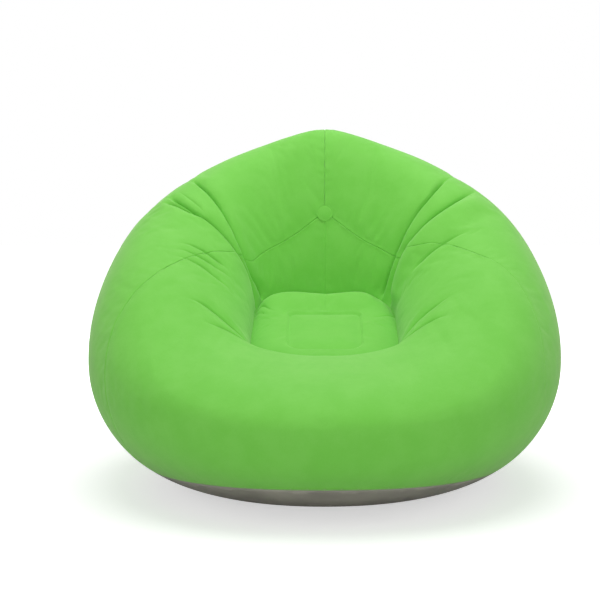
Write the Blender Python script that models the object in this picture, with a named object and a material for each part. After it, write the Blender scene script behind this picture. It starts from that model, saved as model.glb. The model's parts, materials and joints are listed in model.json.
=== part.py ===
# Inflatable sofa chair: an air-tight bag of flocked film gores on a plain base panel, with
# tie webs under the seat and a screw-in air valve low on its back.
# Metres, +Z up. The floor is at zero, the origin is under the chair's middle, and a sitter faces -Y.

import math
import bpy
import numpy as np
from mathutils import Matrix, Vector
from mathutils.geometry import delaunay_2d_cdt

# The blown-up chair
CHAIR_WIDTH = 1.10
CHAIR_LENGTH = 1.10
CHAIR_HEIGHT = 0.85
FLOOR_RADIUS = 0.21          # of the flat disc that it stands on

# Films and welds
SKIN_FILM = 0.0003
BASE_FILM = 0.0004
TIE_FILM = 0.0003
PATCH_FILM = 0.0005
WELD_GAP = 0.0004            # between two panels that meet in a weld
WELD_FIN = 0.008             # width of the two edges turned into the bag
FIN_END = 0.002              # width where an edge turns flat again
FIN_STOP_SHARE = 0.1         # of a fold's depth: past it the edges lie flat
REST_GAP = 0.0003            # between two pieces that lie on each other

# Seat pad, sunk among the arms
SEAT_WIDTH = 0.34
SEAT_LENGTH = 0.37
SEAT_FORWARD = 0.05          # its middle, ahead of the chair's middle
SEAT_HEIGHT = 0.352          # of the crease round it, at its middle
SEAT_SLOPE = 0.36            # rise towards the back
PAD_CROWN = 0.026
RIDGE_HEIGHT = 0.012         # roll across the pad's back
RIDGE_SPREAD = 0.04
RIDGE_BACK = 0.126           # from the pad's middle
RECESS_WIDTH = 0.176
RECESS_LENGTH = 0.155
RECESS_FORWARD = 0.053       # its middle, ahead of the pad's middle
RECESS_CORNER = 0.03
RECESS_EDGE = 0.02           # width of its sloping side
RECESS_DEPTH = 0.014

# Weld between gores and base panel
BASE_WELD_FRONT = 0.078
BASE_WELD_BACK = 0.05

# Folds down the inside of the arms
FOLD_DEPTH = 0.034
FOLD_WIDTH = 0.055           # to each side of its bottom
FOLD_SIDE = 0.013            # to each side, where the mesh follows its slope

# Round patch where the gores meet on the backrest
PATCH_RADIUS = 0.021

# Tie webs between the recess and the base
TIE_FLANGE = 0.014
TIE_CORNER_GAP = 0.0008
TIE_MERGE = 0.00001          # joins the corners of a web and its flanges
VENT_RADIUS = 0.02
VENT_HEIGHT_SHARES = (1 / 3, 2 / 3)

# Air valve
VALVE_TURN = 12              # degrees from the back's middle, towards -X
VALVE_LEVEL = 3.2            # between the widest ring, 3, and the base weld, 4
NECK_RADIUS = 0.0182
NECK_WALL = 0.0024
NECK_OUT = 0.0015
NECK_BEYOND = 0.002          # past the insert's floor
NECK_CLEARANCE = 0.0005
FLANGE_WIDTH = 0.0118
FLANGE_THICK = 0.0012
FLANGE_RADIUS = NECK_RADIUS + FLANGE_WIDTH
FLAT_BEYOND = 0.006          # flat skin outside the flange
BLEND_WIDTH = 0.034          # from there to where the skin is round again
VALVE_FLAT = FLANGE_RADIUS + FLAT_BEYOND
VALVE_BLEND = VALVE_FLAT + BLEND_WIDTH
GASKET_THICK = 0.0012
RUNNING_GAP = 0.0004
INSERT_WALL = 0.0034
INSERT_FLOOR = 0.0016
INSERT_IN = 0.0150
RIM_THICK = 0.0025
AIR_HOLES = 6
AIR_HOLE_RADIUS = 0.0026
PIN_RADIUS = 0.0014
PIN_HEAD_RADIUS = 0.0030
PIN_HEAD_THICK = 0.0011
PIN_CLEARANCE = 0.0003
FLAP_LAP = 0.0015            # past the air holes
FLAP_THICK = 0.0008
FLAP_TRAVEL = 0.003
CAP_LIP = 0.0024             # of its plate, past the plug
CAP_THICK = 0.0018
PLUG_DEPTH = 0.0046
PLUG_DRAFT = 0.0006
PLUG_WALL = 0.0014
TAB_WIDTH = 0.007
TAB_OUT = 0.0060
TETHER_WALL = 0.0018
TETHER_THICK = 0.0016
CUT_OVERRUN = 0.001
VALVE_SIDES = 24

# Steps of the skin's mesh
SKIN_STEP = 0.058
SEAM_STEP = 0.045
PAD_STEP = 0.034

# The skin runs through numbered rings: the pad's middle 0, the crease round the pad 1, the rim 2,
# the widest ring 3, the base weld 4 and the edge of the floor disc 5. Its sections are given at
# turns from the back's middle round to the front's middle.
CREASE, RIM, WIDEST, BASE_WELD, FLOOR = 1, 2, 3, 4, 5
TURNS = np.radians((0, 14, 28, 42, 57, 72, 90, 115, 140, 160, 180))
RIM_REACH_SHARES = (0.527, 0.545, 0.591, 0.633, 0.673, 0.704, 0.718, 0.700, 0.609, 0.476, 0.422)
RIM_HEIGHT_SHARES = (1.0, 0.984, 0.951, 0.912, 0.856, 0.791, 0.700, 0.571, 0.431, 0.392, 0.385)
WIDEST_HEIGHT_SHARES = (0.388, 0.388, 0.388, 0.388, 0.382, 0.376, 0.365, 0.329, 0.282, 0.253, 0.247)
WALL_LEAN_SHARES = (0.75, 0.70, 0.60, 0.55, 0.50, 0.30, 0.20, 0.20, 0.30, 0.50, 0.60)
FLANK_FULLNESS = 0.9
PLAN_SQUARENESS = 2.1
SEAT_SQUARENESS = 4.0

# Lines on the skin, each point a turn in degrees and a place between two rings
INNER_FOLD_SHARES = ((46, 1.0), (51, 1.12), (56, 1.24), (62, 1.4), (63.5, 1.6), (63, 1.8), (60, 2.0))
OUTER_FOLD_SHARES = ((57, 1.0), (61, 1.12), (65, 1.24), (70, 1.38), (74.5, 1.56), (75.5, 1.76), (73, 2.0))
FOLD_FADE_SHARES = (1.0, 1.12, 1.75, 2.02)      # the fold starts, is full, is full, ends
STAR_LEVEL = 1.33
ARM_SEAM_SHARES = ((0, 1.33), (20, 1.26), (34, 1.23), (55, 1.235), (63, 1.30), (70, 1.37), (85, 1.53),
                   (97, 1.70), (106.5, 1.91), (111, 2.13), (115.5, 2.36), (118.5, 2.63), (121, 2.9),
                   (122.5, 3.2), (123.5, 3.6), (124, 4.0))

# Flat layout of the skin: each ring's radius in it
LAYOUT_SHARES = (0, 0.17, 0.46, 0.90, 1.16, 1.40)
RINGS_BETWEEN = (4, 7, 8, 5, 4)
RING_COUNTS = (36, 40, 48, 48, 36)
GUARD_SHARE = 0.42           # of a step, kept clear beside every line

SKIN_COLOUR = (0.195, 0.578, 0.102, 1)
BASE_COLOUR = (0.150, 0.144, 0.124, 1)
TIE_COLOUR = (0.42, 0.44, 0.40, 1)
VALVE_COLOUR = (0.23, 0.23, 0.22, 1)
FLAP_COLOUR = (0.62, 0.60, 0.55, 1)


def clear_scene():
    for thing in list(bpy.data.objects):
        bpy.data.objects.remove(thing, do_unlink=True)


def smooth(share):
    share = np.clip(share, 0, 1)
    return share * share * (3 - 2 * share)


def through(shares, turn):
    """A smooth line through the stations, level at the back and at the front."""
    values = np.array(shares)
    slope = np.zeros(len(values))
    slope[1:-1] = (values[2:] - values[:-2]) / (TURNS[2:] - TURNS[:-2])
    first = np.clip(np.searchsorted(TURNS, turn, side="right") - 1, 0, len(TURNS) - 2)
    span = TURNS[first + 1] - TURNS[first]
    t = (turn - TURNS[first]) / span
    return ((1 + 2 * t) * (1 - t) ** 2 * values[first] + t * (1 - t) ** 2 * span * slope[first]
            + t * t * (3 - 2 * t) * values[first + 1] + t * t * (t - 1) * span * slope[first + 1])


def oval(turn, half_across, half_along, squareness):
    across = (np.abs(np.sin(turn)) / half_across) ** squareness
    along = (np.abs(np.cos(turn)) / half_along) ** squareness
    return (across + along) ** (-1 / squareness)


def seat_reach(turn):
    return oval(turn, SEAT_WIDTH / 2, SEAT_LENGTH / 2, SEAT_SQUARENESS)


def seat_plane(y):
    return SEAT_HEIGHT + SEAT_SLOPE * (y + SEAT_FORWARD)


def recess_distance(x, y):
    """How far outside the recess's rounded outline a place lies, less than zero inside it."""
    dx = np.abs(x) - (RECESS_WIDTH / 2 - RECESS_CORNER)
    dy = np.abs(y + SEAT_FORWARD + RECESS_FORWARD) - (RECESS_LENGTH / 2 - RECESS_CORNER)
    return np.hypot(np.maximum(dx, 0), np.maximum(dy, 0)) + np.minimum(np.maximum(dx, dy), 0) - RECESS_CORNER


def pad_height(x, y, share):
    """The pad's top. The share runs from 0 in its middle to 1 at the crease round it."""
    ridge = RIDGE_HEIGHT * np.exp(-((y + SEAT_FORWARD - RIDGE_BACK) / RIDGE_SPREAD) ** 2)
    top = PAD_CROWN * (1 - share ** 5) + ridge * (1 - share ** 6)
    sunk = smooth(-recess_distance(x, y) / RECESS_EDGE)
    return seat_plane(y) + top * (1 - sunk) + (PAD_CROWN - RECESS_DEPTH) * sunk


def smooth_skin(turn, side, level):
    """The skin without its folds: turn in radians, side -1 or 1, level by the numbered rings."""
    crease = seat_reach(turn)
    crease_height = seat_plane(crease * np.cos(turn) - SEAT_FORWARD)
    rim = through(RIM_REACH_SHARES, turn) * oval(turn, CHAIR_WIDTH / 2, CHAIR_LENGTH / 2, 2)
    rim_height = through(RIM_HEIGHT_SHARES, turn) * CHAIR_HEIGHT
    widest = oval(turn, CHAIR_WIDTH / 2, CHAIR_LENGTH / 2, PLAN_SQUARENESS)
    widest_height = through(WIDEST_HEIGHT_SHARES, turn) * CHAIR_HEIGHT
    weld_height = BASE_WELD_BACK + (BASE_WELD_FRONT - BASE_WELD_BACK) * smooth(2 * turn / math.pi - 1)
    weld_angle = np.arcsin(1 - weld_height / widest_height)
    quarter = math.pi / 2

    lean = through(WALL_LEAN_SHARES, turn)
    up = np.clip(level - CREASE, 0, 1)
    wall_reach = crease + (rim - crease) * ((1 - lean) * (1 - np.cos(up * quarter)) + lean * up ** 1.3)
    wall_height = crease_height + (rim_height - crease_height) * np.sin(up * quarter)
    over = np.clip(level - RIM, 0, 1) * quarter
    shoulder_reach = rim + (widest - rim) * np.sin(over)
    shoulder_height = widest_height + (rim_height - widest_height) * np.cos(over)
    under = np.where(level <= BASE_WELD, np.clip(level - WIDEST, 0, 1) * weld_angle,
                     weld_angle + np.clip(level - BASE_WELD, 0, 1) * (quarter - weld_angle))
    flank = np.clip(np.cos(under), 0, 1) ** FLANK_FULLNESS
    flank_reach = FLOOR_RADIUS + (widest - FLOOR_RADIUS) * flank
    flank_height = widest_height * (1 - np.sin(under))

    stages = [level <= CREASE, level <= RIM, level <= WIDEST]
    reach = np.select(stages, [crease * np.clip(level, 0, 1), wall_reach, shoulder_reach], flank_reach)
    middle = -SEAT_FORWARD * (1 - smooth((level - CREASE) / (WIDEST - CREASE)))
    x = side * reach * np.sin(turn)
    y = middle + reach * np.cos(turn)
    pad = pad_height(x, y, np.clip(level, 0, 1))
    z = np.select(stages, [pad, wall_height, shoulder_height], flank_height)
    return np.stack([x, y, z], -1)


def fold_line(shares, level):
    turns, levels = np.array(shares).T
    return np.radians(np.interp(level, levels, turns))


def folded_skin(turn, side, level):
    """The skin with the folds pressed into it, square to its surface, and how far each place is sunk."""
    nudge = 0.004
    along = smooth_skin(turn + nudge, side, level) - smooth_skin(turn - nudge, side, level)
    down = smooth_skin(turn, side, level + nudge) - smooth_skin(turn, side, level - nudge)
    outward = np.cross(along, down) * np.reshape(side, np.shape(turn) + (1,))
    outward = outward / np.maximum(np.linalg.norm(outward, axis=-1, keepdims=True), 1e-12)
    place = smooth_skin(turn, side, level)
    reach = np.hypot(place[..., 0], place[..., 1] + SEAT_FORWARD)
    start, full, fading, end = FOLD_FADE_SHARES
    strength = smooth((level - start) / (full - start)) * (1 - smooth((level - fading) / (end - fading)))
    sunk = np.zeros_like(level)
    for shares in (INNER_FOLD_SHARES, OUTER_FOLD_SHARES):
        beside = np.abs(turn - fold_line(shares, level)) * reach / FOLD_WIDTH
        sunk = np.maximum(sunk, np.clip(1 - beside, 0, 1) ** 2)
    sunk = sunk * strength
    return place - outward * (FOLD_DEPTH * sunk)[..., None], sunk


def lay(turn, side, level):
    """A place on the skin to its place in the flat layout."""
    radius = np.interp(level, range(len(LAYOUT_SHARES)), LAYOUT_SHARES)
    return np.stack([side * radius * np.sin(turn), radius * np.cos(turn)], -1)


def unlay(flat):
    radius = np.hypot(flat[..., 0], flat[..., 1])
    turn = np.arctan2(np.abs(flat[..., 0]), flat[..., 1])
    level = np.interp(radius, LAYOUT_SHARES, range(len(LAYOUT_SHARES)))
    return turn, np.where(flat[..., 0] < 0, -1.0, 1.0), level


def skin(flat):
    turn, side, level = unlay(np.asarray(flat, dtype=float))
    return folded_skin(turn, side, level)[0]


def line_points(shares, side, step):
    """Points along a line of the skin, about a step apart on the blown-up chair."""
    turns, levels = np.array(shares, dtype=float).T
    fine = np.linspace(0, len(turns) - 1, 40 * len(turns))
    turn = np.radians(np.interp(fine, range(len(turns)), turns))
    level = np.interp(fine, range(len(turns)), levels)
    sides = np.full_like(turn, side)
    places = smooth_skin(turn, sides, level)
    run = np.concatenate([[0], np.cumsum(np.linalg.norm(np.diff(places, axis=0), axis=1))])
    even = np.linspace(0, run[-1], max(2, round(run[-1] / step)) + 1)
    return lay(np.interp(even, run, turn), side, np.interp(even, run, level))


def ring_points(level, count, stops=(), stagger=0):
    """Points round a ring, the nearest of them moved onto each stop, a turn in degrees."""
    turns = (np.arange(count) + stagger) * 360 / count
    for stop in stops:
        turns[np.argmin(np.abs((turns - stop + 180) % 360 - 180))] = stop
    turns = np.radians(np.sort(turns % 360))
    side = np.where(turns > math.pi, -1.0, 1.0)
    return lay(np.where(turns > math.pi, 2 * math.pi - turns, turns), side, np.full_like(turns, level))


def recess_outline(inset):
    """The recess's rounded outline, that much inside its edge, laid flat."""
    corner = RECESS_CORNER - inset / 2
    half_x, half_y = RECESS_WIDTH / 2 - inset - corner, RECESS_LENGTH / 2 - inset - corner
    points = []
    for start, sx, sy in ((0, 1, 1), (90, -1, 1), (180, -1, -1), (270, 1, -1)):
        for turn in np.radians((start, start + 30, start + 60, start + 90)):
            points.append((sx * half_x + corner * math.cos(turn), sy * half_y + corner * math.sin(turn)))
    points = [np.array(point) for point in points]
    middles = [(points[i] + points[(i + 1) % len(points)]) / 2 for i in range(3, len(points), 4)]
    points = [point for i in range(4) for point in points[4 * i:4 * i + 4] + [middles[i]]]
    x, y = np.array(points).T
    y = y - RECESS_FORWARD
    turn = np.arctan2(np.abs(x), y)
    return lay(turn, np.where(x < 0, -1.0, 1.0), np.hypot(x, y) / seat_reach(turn))


class ValvePlace:
    """The valve's place on the skin: its middle, its outward axis and the circles round it."""

    def __init__(self):
        self.flat = lay(math.radians(VALVE_TURN), -1, VALVE_LEVEL)
        nudge = 0.002
        self.middle = skin(self.flat)
        self.slope = np.stack([(skin(self.flat + step) - skin(self.flat - step)) / (2 * nudge)
                               for step in (np.array((nudge, 0)), np.array((0, nudge)))], -1)
        normal = np.cross(self.slope[:, 0], self.slope[:, 1])
        self.outward = normal / np.linalg.norm(normal)
        upward = np.array((0, 0, 1)) - self.outward * self.outward[2]
        self.upward = upward / np.linalg.norm(upward)
        self.across = np.cross(self.upward, self.outward)

    def circle(self, radius):
        """A circle round the axis, in the flat layout and on the blown-up chair."""
        turns = np.arange(VALVE_SIDES) * 2 * math.pi / VALVE_SIDES
        offsets = radius * (np.cos(turns)[:, None] * self.across + np.sin(turns)[:, None] * self.upward)
        return self.flat + offsets @ np.linalg.pinv(self.slope).T, self.middle + offsets

    def flatten(self, places):
        """Draws the skin flat round the axis."""
        offset = places - self.middle
        height = offset @ self.outward
        beside = np.linalg.norm(offset - height[:, None] * self.outward, axis=1)
        near = 1 - smooth((beside - VALVE_FLAT) / BLEND_WIDTH)
        near[np.abs(height) > VALVE_BLEND] = 0
        return places - (height * near)[:, None] * self.outward

    def matrix(self):
        turned = Matrix((self.across, self.upward, self.outward)).transposed().to_4x4()
        return Matrix.Translation(Vector(self.middle)) @ turned


def inside(outline, points):
    """Which points lie inside a closed outline."""
    result = np.zeros(len(points), dtype=bool)
    for (ax, ay), (bx, by) in zip(outline, np.roll(outline, -1, axis=0)):
        crosses = (points[:, 1] < ay) != (points[:, 1] < by)
        with np.errstate(divide="ignore", invalid="ignore"):
            at = ax + (points[:, 1] - ay) * (bx - ax) / (by - ay)
        result ^= crosses & (points[:, 0] < at)
    return result


def fold_lines(shares, side):
    """A fold's bottom and the two lines along its sides, each from ring to ring."""
    bottom = line_points(shares, side, SEAM_STEP)
    turn, _, level = unlay(bottom[1:-1])
    places = smooth_skin(turn, side, level)
    reach = np.hypot(places[:, 0], places[:, 1] + SEAT_FORWARD)
    return [bottom] + [lay(turn + beside / reach, side, level) for beside in (-FOLD_SIDE, FOLD_SIDE)]


def mesh_layout(valve):
    """Triangles over the whole flat layout, with every weld, fold and edge along their sides."""
    lines = []          # arrays of points, and whether each closes on itself
    weld_turn = ARM_SEAM_SHARES[-1][0]
    for side in (-1, 1):
        lines.append((line_points(ARM_SEAM_SHARES, side, SEAM_STEP), False))
        for shares in (INNER_FOLD_SHARES, OUTER_FOLD_SHARES):
            lines += [(line, False) for line in fold_lines(shares, side)]
    for first, last in ((STAR_LEVEL, RIM), (RIM, WIDEST), (WIDEST, BASE_WELD)):
        lines.append((line_points(((0, first), (0, last)), 1, SKIN_STEP), False))
    weld_stops = (0, weld_turn, 180, 360 - weld_turn)
    fold_stops = [turn for shares in (INNER_FOLD_SHARES, OUTER_FOLD_SHARES)
                  for turn in (shares[0][0], 360 - shares[0][0])]
    lines.append((ring_points(CREASE, RING_COUNTS[0], fold_stops), True))
    lines.append((ring_points(BASE_WELD, RING_COUNTS[BASE_WELD - 1], weld_stops), True))
    lines.append((ring_points(FLOOR, RING_COUNTS[FLOOR - 1]), True))
    lines.append((recess_outline(0), True))
    lines.append((recess_outline(RECESS_EDGE), True))
    for radius in (NECK_RADIUS + NECK_CLEARANCE, VALVE_FLAT, VALVE_BLEND):
        lines.append((valve.circle(radius)[0], True))
    lines.append((lay(0.0, 1, STAR_LEVEL) + patch_circle(), True))

    points = [point for line, _ in lines for point in line]
    edges = []
    guards = []
    start = 0
    for line, closed in lines:
        count = len(line)
        edges += [(start + i, start + (i + 1) % count) for i in range(count if closed else count - 1)]
        ends = np.roll(line, -1, axis=0)
        for share in (0, 0.25, 0.5, 0.75):
            between = line + (ends - line) * share
            guards.append(between if closed else between[:-1])
        start += count
    guards = smooth_skin(*unlay(np.concatenate(guards)))
    for band, rings in enumerate(RINGS_BETWEEN):
        for ring in range(rings):
            level = band + ring / rings
            on_pad = level < CREASE
            count = RING_COUNTS[band] * level if on_pad else RING_COUNTS[band]
            loose = ring_points(level, max(1, 4 * round(count / 4)), stagger=0 if on_pad else ring % 2 / 2)
            places = smooth_skin(*unlay(loose))
            room = GUARD_SHARE * (PAD_STEP if on_pad else SKIN_STEP)
            for flat, place in zip(loose, places):
                sloping = on_pad and -RECESS_EDGE - REST_GAP < recess_distance(place[0], place[1]) < REST_GAP
                near_valve = np.linalg.norm(place - valve.middle) < VALVE_BLEND + room
                if not sloping and not near_valve and np.linalg.norm(guards - place, axis=1).min() > room:
                    points.append(flat)
    flats, _, faces, *_ = delaunay_2d_cdt([Vector(point) for point in points], edges, [], 0, 1e-6)
    return np.array(flats), np.array(faces)


def patch_circle():
    """The patch's outline in the flat layout, round the place where the gores meet."""
    nudge = 0.01
    up = lay(0.0, 1, STAR_LEVEL + nudge) - lay(0.0, 1, STAR_LEVEL - nudge)
    rise = smooth_skin(0.0, 1.0, STAR_LEVEL + nudge) - smooth_skin(0.0, 1.0, STAR_LEVEL - nudge)
    across = lay(nudge, 1, STAR_LEVEL) - lay(0.0, 1, STAR_LEVEL)
    spread = smooth_skin(nudge, 1.0, STAR_LEVEL) - smooth_skin(0.0, 1.0, STAR_LEVEL)
    turns = np.arange(12) * math.pi / 6
    return PATCH_RADIUS * (np.sin(turns)[:, None] * across / np.linalg.norm(spread)
                           + np.cos(turns)[:, None] * up / np.linalg.norm(rise))


def material(name, colour, roughness):
    made = bpy.data.materials.new(name)
    made.use_nodes = True
    shader = made.node_tree.nodes["Principled BSDF"]
    shader.inputs["Base Color"].default_value = colour
    shader.inputs["Roughness"].default_value = roughness
    shader.inputs["Metallic"].default_value = 0
    made.diffuse_color = colour
    return made


def add_mesh(name, points, faces, made_of):
    mesh = bpy.data.meshes.new(name)
    mesh.from_pydata([tuple(point) for point in points], [], [tuple(int(i) for i in face) for face in faces])
    mesh.validate()
    mesh.materials.append(made_of)
    thing = bpy.data.objects.new(name, mesh)
    bpy.context.scene.collection.objects.link(thing)
    return thing


def thicken(thing, film):
    """Gives a sheet its thickness, on the side away from its faces' fronts."""
    solid = thing.modifiers.new("film", "SOLIDIFY")
    solid.thickness = film
    solid.offset = -1
    solid.use_even_offset = False
    solid.use_rim = True


def panel(name, places, normals, fins, faces, made_of, film, centre=None):
    """One film panel, a little inside its welds, with its edges turned into the bag along them.

    fins holds the width of each vertex's fin, zero on an edge that has none."""
    used, flat = np.unique(faces, return_inverse=True)
    faces = flat.reshape(-1, 3)
    points = [np.array(place) for place in places[used]]
    normal = normals[used]
    width = fins[used]
    bare = width == 0
    sides = {(a, b) for face in faces for a, b in zip(face, np.roll(face, -1))}
    border = [(a, b) for a, b in sides if (b, a) not in sides]
    pulls = {}
    for a, b in border:
        along = points[b] - points[a]
        inward = np.cross(normal[a] + normal[b], along)
        inward = inward / np.linalg.norm(inward)
        pulls.setdefault(a, []).append(inward)
        pulls.setdefault(b, []).append(inward)
    moved = {}
    for vertex, ways in pulls.items():
        way = sum(ways)
        way = way / np.linalg.norm(way)
        moved[vertex] = points[vertex] + way * WELD_GAP / 2 / max(0.5, float(way @ ways[0]))
    for vertex, place in moved.items():
        points[vertex] = place
    faces = [tuple(face) for face in faces]
    fin = {}
    for a, b in border:
        if bare[a] and bare[b]:
            continue
        for vertex in (a, b):
            if vertex not in fin:
                fin[vertex] = len(points)
                points.append(points[vertex] - normal[vertex] * max(width[vertex], FIN_END))
        # both panels of a weld split the fin along the same diagonal
        if used[a] < used[b]:
            faces += [(b, a, fin[b]), (a, fin[a], fin[b])]
        else:
            faces += [(b, a, fin[a]), (b, fin[a], fin[b])]
    if centre is not None:
        faces += [(b, a, len(points)) for a, b in border if bare[a] and bare[b]]
        points.append(np.array(centre))
    thing = add_mesh(name, points, faces, made_of)
    thicken(thing, film)
    thing.data.shade_smooth()
    thing.data.set_sharp_from_angle(angle=math.radians(40))
    return thing


def build_skin(valve, flocked, plain):
    flats, faces = mesh_layout(valve)
    turn, side, level = unlay(flats)
    places, sunk = folded_skin(turn, side, level)
    places = valve.flatten(places)
    fins = np.where(sunk > FIN_STOP_SHARE, 0, WELD_FIN)
    hole, ring = valve.circle(NECK_RADIUS + NECK_CLEARANCE)
    for flat, place in zip(hole, ring):
        places[np.argmin(np.linalg.norm(flats - flat, axis=1))] = place
    corners = flats[faces]
    area = np.cross(corners[:, 1] - corners[:, 0], corners[:, 2] - corners[:, 0])
    faces[area < 0] = faces[area < 0][:, ::-1]
    first, second, third = places[faces].transpose(1, 0, 2)
    face_normals = np.cross(second - first, third - first)
    normals = np.zeros_like(places)
    for corner in range(3):
        np.add.at(normals, faces[:, corner], face_normals)
    normals = normals / np.linalg.norm(normals, axis=1, keepdims=True)

    middles = corners.mean(axis=1)
    middle_level = unlay(middles)[2]
    weld_turn = math.radians(ARM_SEAM_SHARES[-1][0])
    star = lay(0.0, 1, STAR_LEVEL)
    right_seam = line_points(ARM_SEAM_SHARES, 1, SEAM_STEP)
    left_seam = line_points(ARM_SEAM_SHARES, -1, SEAM_STEP)
    outside = 2 * lay(np.array((weld_turn, math.pi, weld_turn)), np.array((1, 1, -1)), np.full(3, FLOOR))
    front_outline = np.concatenate([right_seam, outside, left_seam[::-1]])
    in_patch = inside(star + patch_circle(), middles)
    in_hole = inside(hole, middles)
    in_front = inside(front_outline, middles)
    in_base = middle_level > BASE_WELD
    upper = ~(in_patch | in_hole | in_base)

    edge_reach = np.linalg.norm(flats - valve.flat, axis=1)
    slack = 1.01
    on_hole = edge_reach < np.linalg.norm(hole - valve.flat, axis=1).max() * slack
    on_patch = np.linalg.norm(flats - star, axis=1) < np.linalg.norm(patch_circle(), axis=1).max() * slack
    on_floor = level > FLOOR / slack
    fins[on_hole | on_patch | on_floor] = 0
    back = upper & ~in_front
    left = middles[:, 0] < 0
    panel("front_gore", places, normals, fins, faces[upper & in_front], flocked, SKIN_FILM)
    panel("back_left_gore", places, normals, fins, faces[back & left], flocked, SKIN_FILM)
    panel("back_right_gore", places, normals, fins, faces[back & ~left], flocked, SKIN_FILM)
    panel("star_patch", places, normals, fins, faces[in_patch], flocked, PATCH_FILM)
    panel("base_panel", places, normals, fins, faces[in_base], plain, BASE_FILM, centre=(0, 0, 0))


def sheet_with_vents(width, heights, vents):
    """A flat sheet over a width, its height running from the first to the second, with round vents."""
    outline = [(0, 0), (width, 0), (width, heights[1]), (0, heights[0])]
    points = [Vector(point) for point in outline]
    edges = [(i, (i + 1) % 4) for i in range(4)]
    rings = []
    for x, y in vents:
        start = len(points)
        turns = np.arange(12) * math.pi / 6
        ring = np.stack([x + VENT_RADIUS * np.cos(turns), y + VENT_RADIUS * np.sin(turns)], -1)
        rings.append(ring)
        points += [Vector(point) for point in ring]
        edges += [(start + i, start + (i + 1) % 12) for i in range(12)]
    flats, _, faces, *_ = delaunay_2d_cdt(points, edges, [], 1, TIE_MERGE)
    flats, faces = np.array(flats), np.array(faces)
    middles = flats[faces].mean(axis=1)
    keep = np.ones(len(faces), dtype=bool)
    for ring in rings:
        keep &= ~inside(ring, middles)
    return flats, faces[keep]


def build_ties(tie_film):
    """Four webs that hold the recess down on the base, with a flange at their top and their foot."""
    half_x = RECESS_WIDTH / 2 - RECESS_EDGE - REST_GAP
    half_y = RECESS_LENGTH / 2 - RECESS_EDGE - REST_GAP
    middle = -SEAT_FORWARD - RECESS_FORWARD
    below = (SKIN_FILM + REST_GAP) * math.hypot(1, SEAT_SLOPE)
    foot = BASE_FILM + REST_GAP

    def top(y):
        return seat_plane(y) + PAD_CROWN - RECESS_DEPTH - below

    corners = {"front": ((-half_x, -half_y), (half_x, -half_y)),
               "right": ((half_x, -half_y), (half_x, half_y)),
               "back": ((half_x, half_y), (-half_x, half_y)),
               "left": ((-half_x, half_y), (-half_x, -half_y))}
    for name, (start, end) in corners.items():
        start, end = Vector((*start, 0)), Vector((*end, 0))
        along = (end - start).normalized()
        start, end = start + along * TIE_CORNER_GAP, end - along * TIE_CORNER_GAP
        inward = Vector((-along.y, along.x, 0))
        width = (end - start).length
        heights = [top(corner.y + middle) - foot for corner in (start, end)]
        vents = [(width / 2, min(heights) * share) for share in VENT_HEIGHT_SHARES]
        flats, faces = sheet_with_vents(width, heights, vents)
        points = [start + along * x + Vector((0, middle, foot + y)) for x, y in flats]
        faces = [tuple(face) for face in faces]
        for level in ("foot", "top"):
            first = len(points)
            for corner, way in ((start, 1), (end, -1)):
                for reach in (0, TIE_FLANGE):
                    place = corner + inward * reach + along * way * reach + Vector((0, middle, 0))
                    place.z = foot if level == "foot" else top(place.y)
                    points.append(place)
            ring = [first, first + 2, first + 3, first + 1]
            faces.append(ring if level == "top" else ring[::-1])
        thing = add_mesh("seat_tie_" + name, points, faces, tie_film)
        weld = thing.modifiers.new("joined", "WELD")
        weld.merge_threshold = TIE_MERGE
        thicken(thing, TIE_FILM)


def turned(name, profile, made_of, sides=VALVE_SIDES):
    """A closed profile of radius and height, turned round its axis."""
    points, rows = [], []
    for radius, height in profile:
        count = sides if radius > 0 else 1
        rows.append([len(points) + i % count for i in range(sides)])
        for i in range(count):
            turn = 2 * math.pi * i / sides
            points.append((radius * math.cos(turn), radius * math.sin(turn), height))
    faces = []
    for row, after in zip(rows, rows[1:] + rows[:1]):
        for i in range(sides):
            j = (i + 1) % sides
            face = []
            for vertex in (row[i], row[j], after[j], after[i]):
                if vertex not in face:
                    face.append(vertex)
            if len(face) > 2:
                faces.append(face)
    thing = add_mesh(name, points, faces, made_of)
    thing.data.shade_smooth()
    thing.data.set_sharp_from_angle(angle=math.radians(35))
    return thing


def block(name, low, high, made_of):
    points = [(x, y, z) for x in (low[0], high[0]) for y in (low[1], high[1]) for z in (low[2], high[2])]
    faces = [(0, 1, 3, 2), (4, 6, 7, 5), (0, 4, 5, 1), (2, 3, 7, 6), (0, 2, 6, 4), (1, 5, 7, 3)]
    return add_mesh(name, points, faces, made_of)


def combine(thing, other, operation):
    """Adds the other shape to this one, or cuts it away. The other stays as a hidden guide."""
    other.hide_render = True
    other.display_type = "WIRE"
    step = thing.modifiers.new(other.name, "BOOLEAN")
    step.operation = operation
    step.object = other
    step.solver = "EXACT"


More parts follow.
